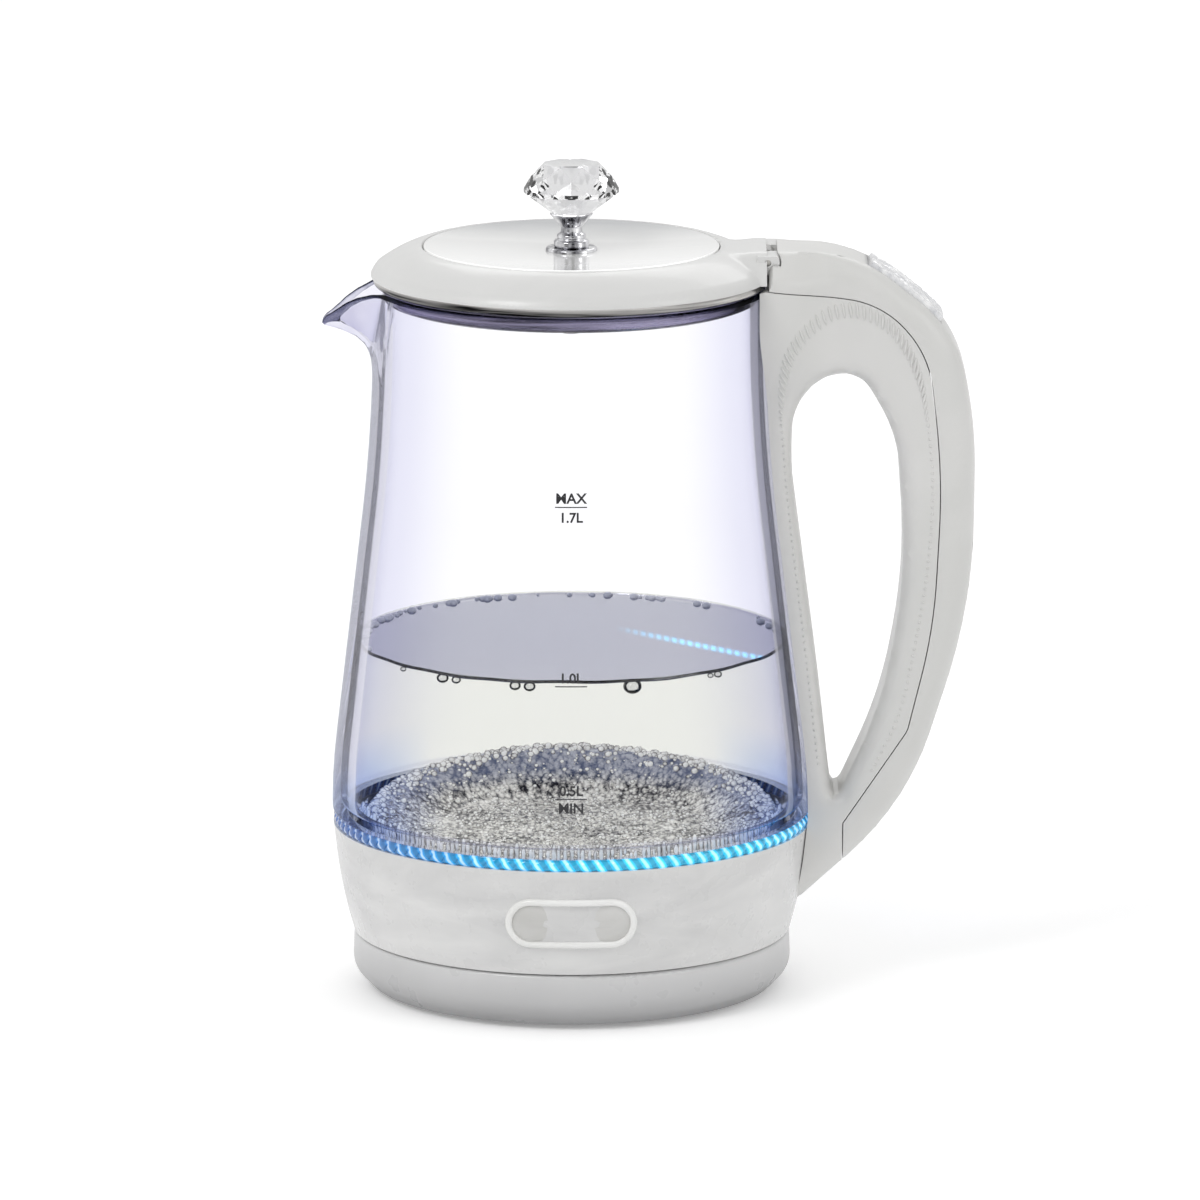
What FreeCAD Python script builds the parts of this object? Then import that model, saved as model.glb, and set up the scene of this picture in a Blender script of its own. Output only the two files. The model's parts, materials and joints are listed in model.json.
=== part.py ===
"""Glass electric kettle on a 360 degree power base, in millimetres.

+Z is up, the handle is towards +X and the spout towards -X. The origin is on the
kettle's axis, on the surface that the base's rubber foot stands on.
"""
import FreeCAD, Part
import math
import os
import Sketcher

Vector = FreeCAD.Vector
doc = FreeCAD.newDocument("Kettle")
sheet = doc.addObject("Spreadsheet::Sheet", "Sheet")

# Driving dimensions: alias, value.
DIMENSIONS = [
    # power base
    ("foot_thickness", 1.5),
    ("base_radius", 68.1),
    ("base_height", 18.1),
    ("base_deck", 17.0),
    ("base_foot_radius", 63.0),
    ("post_radius", 14.4),
    ("post_top", 28.5),
    ("journal_radius", 16.0),
    # kettle underside and plate
    ("seam_gap", 0.5),
    ("shell_bottom_radius", 68.3),
    ("shell_top_radius", 74.5),
    ("shell_top", 52.4),
    ("plate_level", 46.0),
    ("plate_radius", 66.2),
    ("socket_radius", 20.0),
    ("element_radius", 38.0),
    ("element_tube", 3.2),
    # glass
    ("glass_wall", 2.5),
    ("glass_radius", 74.8),
    ("glass_foot_radius", 69.6),
    ("glass_shoulder", 56.0),
    ("neck_radius", 61.7),
    ("glass_top", 222.3),
    ("taper_start", 69.0),
    ("taper_end", 179.0),
    ("spout_reach", 78.2),
    # lid
    ("lid_rim", 225.3),
    ("lid_radius", 62.2),
    ("lid_rise", 9.3),
    ("disc_radius", 45.9),
    ("disc_edge", 9.4),
    ("disc_dish", 1.8),
    ("plug_depth", 8.3),
    ("plug_radius", 57.4),
    ("tongue_half_width", 21.8),
    ("knob_radius", 14.75),
    ("knob_girdle", 251.8),
    ("knob_top", 260.1),
    # lid hinge
    ("hinge_reach", 60.6),
    ("hinge_drop", 3.0),
    ("barrel_radius", 3.7),
    ("hinge_pin_radius", 1.0),
    # handle and switch
    ("handle_face", 60.9),
    ("handle_half_width", 14.8),
    ("handle_reach", 125.5),
    ("grip_rounding", 7.0),
    ("hole_rounding", 4.0),
    ("rocker_half_length", 14.0),
    ("rocker_half_width", 8.5),
    ("rocker_rise", 1.8),
    # stock and fits
    ("plastic_wall", 2.0),
    ("sheet_steel", 0.8),
    ("screw_radius", 1.45),
    ("pilot_radius", 1.5),
    ("clearance_radius", 1.6),
    ("boss_radius", 3.2),
    ("base_screw_circle", 45.0),
    ("cap_screw_circle", 61.2),
    ("lid_screw_circle", 49.5),
    ("control_screw_circle", 24.2),
    ("foot_screw_offset", 8.0),
    ("foot_screw_level", 36.5),
    ("switch_pin_radius", 1.0),
    ("switch_pin_depth", 4.6),
    ("moving_gap", 0.4),
    ("pin_gap", 0.05),
]


class Dim(float):
    """A number that keeps the spreadsheet formula it came from."""

    def __new__(cls, value, formula):
        number = super().__new__(cls, value)
        number.formula = formula
        return number

    def __add__(self, other):
        return Dim(float(self) + float(other), f"({self.formula} + {formula_of(other)})")

    def __radd__(self, other):
        return Dim(float(other) + float(self), f"({formula_of(other)} + {self.formula})")

    def __sub__(self, other):
        return Dim(float(self) - float(other), f"({self.formula} - {formula_of(other)})")

    def __rsub__(self, other):
        return Dim(float(other) - float(self), f"({formula_of(other)} - {self.formula})")

    def __mul__(self, other):
        return Dim(float(self) * float(other), f"({self.formula} * {formula_of(other)})")

    __rmul__ = __mul__

    def __neg__(self):
        return Dim(-float(self), f"(0 - {self.formula})")


def formula_of(value):
    """The spreadsheet formula of a Dim, or a plain number as text."""
    if isinstance(value, Dim):
        return value.formula
    return f"({float(value)!r})" if value < 0 else repr(float(value))


class Sizes:
    """The driving dimensions by name, each a Dim bound to its cell."""


size = Sizes()
for row, (alias, value) in enumerate(DIMENSIONS, start=1):
    sheet.set(f"A{row}", alias)
    sheet.set(f"B{row}", str(value))
    sheet.setAlias(f"B{row}", alias)
    setattr(size, alias, Dim(value, f"Sheet.{alias}"))
doc.recompute()

# Levels and radii that follow from the driving dimensions.
shell_bottom = size.base_height + size.seam_gap
cap_level = shell_bottom + 0.4
lid_top = size.lid_rim + size.lid_rise
hinge_level = lid_top - size.hinge_drop
plate_underside = size.plate_level - size.sheet_steel
disc_centre = size.lid_rim + size.disc_edge - size.disc_dish

nodes = {}


# ---------------------------------------------------------------- drawing helpers

def bind(target, prop, value):
    """Set a property, and bind it to the sheet where the value comes from it."""
    if isinstance(value, Dim):
        target.setExpression(prop, value.formula)
    else:
        setattr(target, prop, value)


def new_body(label, compound=False):
    """An empty PartDesign body."""
    body = doc.addObject("PartDesign::Body", label)
    body.Label = label
    if compound:
        body.AllowCompound = True
    return body


def new_sketch(body, plane, lift=0.0):
    """A sketch on one of the body's origin planes, raised along the plane's normal."""
    sketch = body.newObject("Sketcher::SketchObject", f"{body.Name}_sketch")
    role = f"{plane}_Plane"
    origin_plane = [item for item in body.Origin.OriginFeatures if item.Role == role][0]
    sketch.AttachmentSupport = [(origin_plane, "")]
    sketch.MapMode = "FlatFace"
    sketch.AttachmentOffset = FreeCAD.Placement(Vector(0, 0, float(lift)), FreeCAD.Rotation())
    if isinstance(lift, Dim):
        sketch.setExpression(".AttachmentOffset.Base.z", lift.formula)
    return sketch


def constrain(sketch, kind, *places, value):
    """Add one dimension to a sketch, bound to the sheet where it can be."""
    index = sketch.addConstraint(Sketcher.Constraint(kind, *places, float(value)))
    if isinstance(value, Dim):
        sketch.setExpression(f"Constraints[{index}]", value.formula)


def corner_arc(before, corner, after, radius):
    """Centre, tangent points and turning direction of an arc that rounds a corner."""
    come = (corner - before).normalize()
    leave = (after - corner).normalize()
    turn = come.getAngle(leave)
    reach = radius * math.tan(turn / 2)
    left = 1.0 if come.cross(leave).z > 0 else -1.0
    start = corner - come * reach
    end = corner + leave * reach
    centre = start + Vector(-come.y, come.x, 0) * (left * radius)
    return centre, start, end, left


def draw_outline(sketch, corners, closed=True):
    """Draw lines through the corners; a corner with a third number is rounded by it."""
    points = [Vector(float(corner[0]), float(corner[1]), 0) for corner in corners]
    count = len(points)
    arcs = {}
    for index, corner in enumerate(corners):
        if len(corner) > 2:
            after = points[(index + 1) % count]
            arcs[index] = corner_arc(points[index - 1], points[index], after, float(corner[2]))
    lines = []
    for index in range(count if closed else count - 1):
        following = (index + 1) % count
        start = arcs[index][2] if index in arcs else points[index]
        end = arcs[following][1] if following in arcs else points[following]
        lines.append(sketch.addGeometry(Part.LineSegment(start, end), False))
    for index, corner in enumerate(corners):
        last = lines[index - 1] if closed or index > 0 else None
        following = lines[index] if index < len(lines) else None
        if index in arcs:
            centre, start, end, left = arcs[index]
            circle = Part.Circle(centre, Vector(0, 0, 1), float(corner[2]))
            first = math.atan2(*reversed((start - centre)[:2]))
            second = math.atan2(*reversed((end - centre)[:2]))
            turn = (first, second) if left > 0 else (second, first)
            arc = sketch.addGeometry(Part.ArcOfCircle(circle, *turn), False)
            point = sketch.addGeometry(Part.Point(points[index]), True)
            entry, leaving = (1, 2) if left > 0 else (2, 1)
            sketch.addConstraint(Sketcher.Constraint("Tangent", last, 2, arc, entry))
            sketch.addConstraint(Sketcher.Constraint("Tangent", arc, leaving, following, 1))
            sketch.addConstraint(Sketcher.Constraint("PointOnObject", point, 1, last))
            sketch.addConstraint(Sketcher.Constraint("PointOnObject", point, 1, following))
            constrain(sketch, "Radius", arc, value=corner[2])
            place = (point, 1)
        elif following is None:
            place = (last, 2)
        else:
            if last is not None:
                sketch.addConstraint(Sketcher.Constraint("Coincident", last, 2, following, 1))
            place = (following, 1)
        constrain(sketch, "DistanceX", *place, value=corner[0])
        constrain(sketch, "DistanceY", *place, value=corner[1])


def outline(body, plane, corners, lift=0.0, closed=True):
    """A sketch that holds one outline."""
    sketch = new_sketch(body, plane, lift)
    draw_outline(sketch, corners, closed)
    return sketch


def circles(body, plane, rounds, lift=0.0):
    """A sketch of circles, each given as x, y, radius."""
    sketch = new_sketch(body, plane, lift)
    for x, y, radius in rounds:
        shape = Part.Circle(Vector(float(x), float(y), 0), Vector(0, 0, 1), float(radius))
        index = sketch.addGeometry(shape, False)
        constrain(sketch, "Radius", index, value=radius)
        constrain(sketch, "DistanceX", index, 3, value=x)
        constrain(sketch, "DistanceY", index, 3, value=y)
    return sketch


def smooth(points, closed=False, share=0.48):
    """Round each corner with the largest arc that its two runs allow."""
    count = len(points)
    corners = []
    for index, (x, y) in enumerate(points):
        if not closed and index in (0, count - 1):
            corners.append((x, y))
            continue
        here = Vector(float(x), float(y), 0)
        before = Vector(float(points[index - 1][0]), float(points[index - 1][1]), 0)
        after_point = points[(index + 1) % count]
        after = Vector(float(after_point[0]), float(after_point[1]), 0)
        turn = (here - before).getAngle(after - here)
        run = min(here.distanceToPoint(before), here.distanceToPoint(after))
        corners.append((x, y, share * run / math.tan(turn / 2)))
    return corners


def mirrored(corners):
    """An outline symmetric about its vertical axis, from its right-hand side."""
    left = [(-corner[0], *corner[1:]) for corner in reversed(corners)]
    return list(corners) + left


def revolve(body, sketch, angle=360.0, kind="Revolution"):
    """Turn a sketch about its own vertical axis."""
    feature = body.newObject(f"PartDesign::{kind}", f"{body.Name}_{kind}")
    feature.Profile = sketch
    feature.ReferenceAxis = (sketch, ["V_Axis"])
    feature.Angle = angle
    return feature


def extrude(body, sketch, length, kind="Pad", both=False, back=False):
    """Pad or pocket a sketch."""
    feature = body.newObject(f"PartDesign::{kind}", f"{body.Name}_{kind}")
    feature.Profile = sketch
    bind(feature, "Length", length)
    if both:
        feature.SideType = "Symmetric"
    feature.Reversed = back
    return feature


def repeat(body, features, count):
    """Repeat features evenly about the kettle's axis."""
    doc.recompute()
    pattern = body.newObject("PartDesign::PolarPattern", f"{body.Name}_pattern")
    pattern.Originals = features
    axis = [item for item in body.Origin.OriginFeatures if item.Role == "Z_Axis"][0]
    pattern.Axis = (axis, [""])
    pattern.Angle = 360
    pattern.Occurrences = count
    body.Tip = pattern
    return pattern


def combine(kind, label, base, tool):
    """A Part boolean of two objects."""
    result = doc.addObject(f"Part::{kind}", label)
    result.Base = base
    result.Tool = tool
    return result


def keep(name, item):
    """Name a finished sub-part."""
    item.Label = name
    nodes[name] = item
    return item


def turned(name, corners):
    """A sub-part turned from one outline in the XZ plane."""
    body = new_body(name)
    revolve(body, outline(body, "XZ", corners))
    return keep(name, body)


def ring_corners(inner, outer, low, high):
    """The outline of a plain ring."""
    return [(inner, low), (outer, low), (outer, high), (inner, high)]


# ---------------------------------------------------------------- power base

def power_base():
    """The shell, bottom plate, rubber foot ring, cord outlet and terminal block."""
    low = size.foot_thickness
    deck_underside = size.base_deck - size.plastic_wall
    body = new_body("base_shell")
    revolve(body, outline(body, "XZ", [
        (size.base_foot_radius, low),
        (size.base_radius + 0.4, low + 5.5, 7.0),
        (size.base_radius, size.base_height, 1.2),
        (size.base_radius - 3.2, size.base_height, 0.4),
        (size.base_radius - 4.0, size.base_deck),
        (size.journal_radius + size.pin_gap, size.base_deck),
        (size.journal_radius + size.pin_gap, deck_underside),
        (size.base_radius - 3.0, deck_underside, 2.0),
        (size.base_radius - 2.2, low + 6.0, 5.0),
        (size.base_foot_radius - 2.4, low + 2.0),
        (size.base_foot_radius - 2.4, low),
    ]))
    boss = extrude(body, circles(body, "XY", [(size.base_screw_circle, 0.0, size.boss_radius)],
                                 low + 2.0), 13.3)
    repeat(body, [boss], 3)
    doc.recompute()
    pilot = extrude(body, circles(body, "XY", [(size.base_screw_circle, 0.0, size.pilot_radius)],
                                  low + 2.0), 9.0, "Pocket", back=True)
    repeat(body, [pilot], 3)
    doc.recompute()
    extrude(body, circles(body, "XZ", [(0.0, low + 7.5, 4.5)], -60.0), 12.0, "Pocket")
    keep("base_shell", body)

    plate = new_body("base_plate")
    revolve(plate, outline(plate, "XZ", [
        (0.0, low), (size.base_foot_radius - 2.5, low),
        (size.base_foot_radius - 2.5, low + 2.0), (0.0, low + 2.0),
    ]))
    hole = revolve_hole(plate, size.base_screw_circle, low, 2.0)
    repeat(plate, hole, 3)
    keep("base_plate", plate)
    turned("foot_ring", ring_corners(50.0, 57.0, 0.0, low))
    screws("base_screws", size.base_screw_circle, low + 0.1, 9.0, 3)

    outlet = new_body("cord_outlet")
    middle = low + 7.5
    extrude(outlet, circles(outlet, "XZ", [(0.0, middle, 4.45)], -69.4), 8.4)
    extrude(outlet, circles(outlet, "XZ", [(0.0, middle, 5.8)], -70.6), 1.6)
    extrude(outlet, circles(outlet, "XZ", [(0.0, middle, 3.3)], -71.0), 12.0, "Pocket", back=True)
    keep("cord_outlet", outlet)

    block = new_body("terminal_block")
    extrude(block, outline(block, "XY", mirrored([
        (9.0, 26.0, 1.0), (9.0, 36.0, 1.0),
    ]), low + 5.0), 8.4)
    extrude(block, circles(block, "XY", [(x, 31.0, 1.6) for x in (-5.5, 0.0, 5.5)], low + 5.0),
            6.0, "Pocket", back=True)
    keep("terminal_block", block)


def revolve_hole(body, reach, low, depth):
    """A screw hole with a countersunk mouth at its lower end, at (reach, 0)."""
    doc.recompute()
    mouth = 2.9
    hole = circles(body, "XY", [(reach, 0.0, mouth)], low)
    feature = extrude(body, hole, 0.9, "Pocket", back=True)
    doc.recompute()
    shank = circles(body, "XY", [(reach, 0.0, size.screw_radius + 0.15)], low)
    through = extrude(body, shank, depth + 0.5, "Pocket", back=True)
    return [feature, through]


def screws(name, reach, low, length, count):
    """Pan-head screws pointing up, evenly spaced on a circle."""
    body = new_body(name, compound=True)
    head = extrude(body, circles(body, "XY", [(reach, 0.0, 2.7)], low), 0.8)
    shank = extrude(body, circles(body, "XY", [(reach, 0.0, size.screw_radius)], low), length)
    recess = extrude(body, outline(body, "XY", [
        (reach - 1.4, -0.35), (reach + 1.4, -0.35), (reach + 1.4, 0.35), (reach - 1.4, 0.35),
    ], low), 0.5, "Pocket", back=True)
    repeat(body, [head, shank, recess], count)
    keep(name, body)


def connector():
    """The round 360 degree connector post that stands in the base, and its contacts."""
    top = size.post_top
    deck = size.base_deck + size.moving_gap
    groove = deck + 1.0
    body = new_body("connector_post")
    revolve(body, outline(body, "XZ", [
        (2.4, size.base_deck - size.plastic_wall - 3.0),
        (size.journal_radius, size.base_deck - size.plastic_wall - 3.0),
        (size.journal_radius, deck),
        (size.journal_radius + 1.8, deck, 0.3),
        (size.journal_radius + 1.8, deck + 1.0, 0.5),
        (size.post_radius, deck + 1.0),
        (size.post_radius, top, 1.0),
        (12.1, top), (12.1, groove), (9.7, groove), (9.7, top),
        (7.3, top), (7.3, groove), (4.9, groove), (4.9, top, 0.8), (2.4, top, 0.8),
    ]))
    keep("connector_post", body)
    contacts = new_body("post_contacts", compound=True)
    revolve(contacts, outline(contacts, "XZ", ring_corners(4.9, 7.3, groove, groove + 1.2)))
    revolve(contacts, outline(contacts, "XZ", ring_corners(9.7, 12.1, groove, groove + 1.2)))
    keep("post_contacts", contacts)


# ---------------------------------------------------------------- kettle underside

def shell_outer(extra=0.0):
    """The lower shell's outer face, from its bottom edge to its top edge."""
    return [
        (size.shell_bottom_radius + extra, shell_bottom),
        (72.3 + extra, 32.5, 150.0),
        (size.shell_top_radius + extra, size.shell_top),
    ]


def lower_shell():
    """The white moulded shell below the glass, with bosses for the bottom cap's screws."""
    wall = size.plastic_wall
    inner = [
        (size.shell_top_radius - wall, size.shell_top),
        (72.3 - wall, 32.5, 148.0),
        (size.shell_bottom_radius - wall, shell_bottom),
    ]
    body = new_body("lower_shell_turned")
    revolve(body, outline(body, "XZ", shell_outer() + inner))
    boss = extrude(body, outline(body, "XY", [
        (57.6, -3.4, 3.0), (68.4, -3.4), (68.4, 3.4), (57.6, 3.4, 3.0),
    ], cap_level + 2.0), 11.0)
    repeat(body, [boss], 3)
    doc.recompute()
    pilot = extrude(body, circles(body, "XY", [(size.cap_screw_circle, 0.0, size.pilot_radius)],
                                  cap_level + 2.0), 9.0, "Pocket", back=True)
    repeat(body, [pilot], 3)
    return body


def underside():
    """The bottom cap with the female connector, its contacts and screws."""
    cap = new_body("bottom_cap")
    outer = size.shell_bottom_radius - size.plastic_wall - 0.1
    revolve(cap, outline(cap, "XZ", ring_corners(
        size.socket_radius + 0.1, outer, cap_level, cap_level + 2.0)))
    hole = revolve_hole(cap, size.cap_screw_circle, cap_level, 2.0)
    repeat(cap, hole, 3)
    keep("bottom_cap", cap)
    screws("cap_screws", size.cap_screw_circle, cap_level + 0.1, 8.6, 3)

    roof = size.post_top + 1.3
    inner = size.post_radius + 0.8
    turned("connector_socket", [
        (inner, cap_level, 0.6), (size.socket_radius, cap_level),
        (size.socket_radius, cap_level + 3.0, 0.5), (inner + 2.6, cap_level + 3.0),
        (inner + 2.6, roof + 1.7), (0.0, roof + 1.7), (0.0, roof), (inner, roof),
    ])
    prongs = new_body("socket_contacts", compound=True)
    extrude(prongs, circles(prongs, "XY", [(0.0, 0.0, 1.0)], roof), 6.0, back=True)
    for reach in (6.1, 10.9):
        extrude(prongs, outline(prongs, "XY", [
            (reach - 0.4, -1.5), (reach + 0.4, -1.5), (reach + 0.4, 1.5), (reach - 0.4, 1.5),
        ], roof), 6.0, back=True)
    keep("socket_contacts", prongs)


def heater():
    """The steel plate, its seal, diffuser, element, control, bimetal discs and screws."""
    rim = size.plate_radius
    steel = size.sheet_steel
    level = size.plate_level
    seat = plate_underside - 0.8
    turned("heating_plate", [
        (0.0, plate_underside), (rim, plate_underside, 1.6), (rim, level + 5.0),
        (rim - steel, level + 5.0), (rim - steel, level, 0.8), (0.0, level),
    ])
    foot = size.glass_foot_radius
    inside = foot - size.glass_wall
    turned("plate_seal", [
        (60.0, seat), (foot, seat), (foot, level + 0.4), (inside, level + 0.4),
        (inside, level + 4.6), (rim + 0.1, level + 4.6), (rim + 0.1, plate_underside),
        (60.0, plate_underside),
    ])
    diffuser_low = plate_underside - 2.5
    turned("heat_diffuser", [
        (0.0, diffuser_low), (52.0, diffuser_low, 0.6), (52.0, plate_underside),
        (0.0, plate_underside),
    ])

    element = new_body("heating_element")
    middle = diffuser_low - size.element_tube
    section = circles(element, "XZ", [(size.element_radius, middle, size.element_tube)])
    revolve(element, section, angle=320.0)
    element.Placement = FreeCAD.Placement(Vector(), FreeCAD.Rotation(Vector(0, 0, 1), 110.0))
    keep("heating_element", element)

    roof = size.post_top + 3.0
    control = new_body("thermostat_control")
    extrude(control, circles(control, "XY", [(0.0, 0.0, 21.0)], roof), 9.2)
    ear = extrude(control, outline(control, "XY", [
        (15.0, -5.0), (28.0, -5.0, 4.0), (28.0, 5.0, 4.0), (15.0, 5.0),
    ], roof + 5.0), 4.2)
    repeat(control, [ear], 3)
    doc.recompute()
    clear = extrude(control, circles(control, "XY", [
        (size.control_screw_circle, 0.0, size.clearance_radius)], roof + 5.0), 5.0,
                    "Pocket", back=True)
    repeat(control, [clear], 3)
    sixth_turn = FreeCAD.Placement(Vector(), FreeCAD.Rotation(Vector(0, 0, 1), 60.0))
    control.Placement = sixth_turn
    keep("thermostat_control", control)
    screws("control_screws", size.control_screw_circle, roof + 4.1, diffuser_low - roof - 4.2, 3)
    nodes["control_screws"].Placement = sixth_turn

    discs = new_body("bimetal_discs", compound=True)
    gap = diffuser_low - roof - 9.2
    extrude(discs, circles(discs, "XY", [(-9.5, 0.0, 7.5), (9.5, 0.0, 7.5)], roof + 9.25),
            gap - 0.1)
    keep("bimetal_discs", discs)


def light_ring():
    """The ring that lights the glass: carrier, circuit board, light chips and guide."""
    seat = plate_underside - 0.8
    board_low = seat - 2.0
    turned("plate_carrier", [
        (57.0, board_low - 2.0), (71.0, board_low - 2.0), (71.0, board_low),
        (63.6, board_low), (63.6, seat), (60.0, seat), (60.0, board_low), (57.0, board_low),
    ])
    turned("led_board", ring_corners(63.8, 71.0, board_low, board_low + 1.0))
    chips = new_body("led_chips", compound=True)
    chip = extrude(chips, outline(chips, "XY", [
        (69.8, -1.5), (71.0, -1.5), (71.0, 1.5), (69.8, 1.5),
    ], board_low + 1.0), 1.2)
    repeat(chips, [chip], 24)
    keep("led_chips", chips)
    inner = size.glass_foot_radius + 0.2
    turned("light_guide", [
        (inner, board_low + 2.3), (71.0, board_low + 2.3), (71.0, size.shell_top + 0.1),
        (size.shell_top_radius, size.shell_top + 0.1, 0.4),
        (size.shell_top_radius, size.glass_shoulder - 0.1, 0.4),
        (inner, size.glass_shoulder - 0.1, 1.4),
    ])


def badge():
    """The blank oval badge on the front of the lower shell: a raised rim and a plate."""
    middle = 35.5
    for name, half_width, half_height, hole, rise in (
        ("badge_rim", 20.4, 8.1, 2.2, 1.3),
        ("badge_plate", 18.1, 5.8, 0.0, 0.5),
    ):
        skin = new_body(f"{name}_skin")
        inner = shell_outer()
        outer = list(reversed(shell_outer(rise)))
        revolve(skin, outline(skin, "XZ", inner + outer))
        prism = new_body(f"{name}_prism")
        extrude(prism, oval(prism, half_width, half_height, middle), 30.0)
        if hole:
            doc.recompute()
            opening = oval(prism, half_width - hole, half_height - hole, middle)
            extrude(prism, opening, 31.0, "Pocket", back=True)
        keep(name, combine("Common", name, skin, prism))


def oval(body, half_width, half_height, middle):
    """An upright oval with round ends, in front of the shell."""
    return outline(body, "XZ", [
        (-half_width, middle - half_height, half_height * 0.98),
        (half_width, middle - half_height, half_height * 0.98),
        (half_width, middle + half_height, half_height * 0.98),
        (-half_width, middle + half_height, half_height * 0.98),
    ], 50.0)


# ---------------------------------------------------------------- glass

def glass_outer(extra=0.0):
    """The glass's outer face, from its foot to its top."""
    return [
        (size.glass_foot_radius + extra, size.plate_level + 0.5),
        (size.glass_foot_radius + extra, size.glass_shoulder, 1.0),
        (size.glass_radius + extra, size.glass_shoulder, 1.5),
        (size.glass_radius + extra, size.taper_start, 170.0),
        (size.neck_radius + extra, size.taper_end, 500.0),
    ]


# Spout sections: share of the way out, half width, drop of the lip, drop of the keel.
SPOUT_SECTIONS = [
    (0.0, 17.0, 0.7, 27.0),
    (0.3, 13.6, 1.2, 22.5),
    (0.52, 10.6, 2.3, 17.2),
    (0.72, 7.0, 4.6, 14.9),
    (0.88, 3.9, 8.2, 13.6),
    (1.0, 1.5, 11.6, 13.2),
]


def spout_section(body, share, half_width, lip, keel, inset, cover):
    """A V-shaped section of the spout across the YZ plane."""
    start = 56.0
    place = -(start + (size.spout_reach - start) * share)
    top = size.glass_top - lip + cover
    low = size.glass_top - keel + inset
    edge = max(half_width - inset, 0.35)
    depth = size.glass_top - lip - low
    return outline(body, "YZ", mirrored([
        (0.24 * edge, low), (0.8 * edge, low + depth * 0.45), (edge, top),
    ]), place)


def glass():
    """The tapered glass body with its pouring spout."""
    body = new_body("glass_body")
    wall = size.glass_wall
    neck = size.neck_radius
    inner = neck - wall
    foot = size.glass_foot_radius - wall
    wide = size.glass_radius - wall
    bottom = size.plate_level + 0.5
    revolve(body, outline(body, "XZ", [
        (0.0, bottom), *glass_outer(), (neck, size.glass_top, 1.2), (0.0, size.glass_top),
    ]))
    doc.recompute()
    for kind, inset, cover in (("AdditiveLoft", 0.0, 0.0), ("SubtractiveLoft", 2.0, 4.0)):
        sections = [spout_section(body, *row, inset, cover) for row in SPOUT_SECTIONS]
        if inset:
            sections = sections[:-1]
        loft = body.newObject(f"PartDesign::{kind}", f"glass_{kind}")
        loft.Profile = sections[0]
        loft.Sections = sections[1:]
        doc.recompute()
    revolve(body, outline(body, "XZ", [
        (0.0, bottom - 1.0), (foot, bottom - 1.0),
        (foot, size.glass_shoulder + wall, 1.5), (wide, size.glass_shoulder + wall, 2.0),
        (wide, size.taper_start, 130.0), (inner, size.taper_end, 502.0),
        (inner, size.glass_top, 1.2), (inner + 1.25, size.glass_top),
        (inner + 1.25, size.glass_top + 3.0), (0.0, size.glass_top + 3.0),
    ]), kind="Groove")
    keep("glass_body", body)


# ---------------------------------------------------------------- lid and knob

def hinge_side_cut(label, base, reach):
    """Cut a turned part of the lid off flat on its hinge side."""
    block = doc.addObject("Part::Box", f"{label}_side")
    bind(block, "Length", size.lid_radius)
    bind(block, "Width", size.lid_radius * 2.4)
    bind(block, "Height", 60.0)
    block.setExpression(".Placement.Base.x", reach.formula)
    block.setExpression(".Placement.Base.y", (size.lid_radius * -1.2).formula)
    block.setExpression(".Placement.Base.z", (size.lid_rim - 30.0).formula)
    return combine("Cut", label, base, block)


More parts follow.
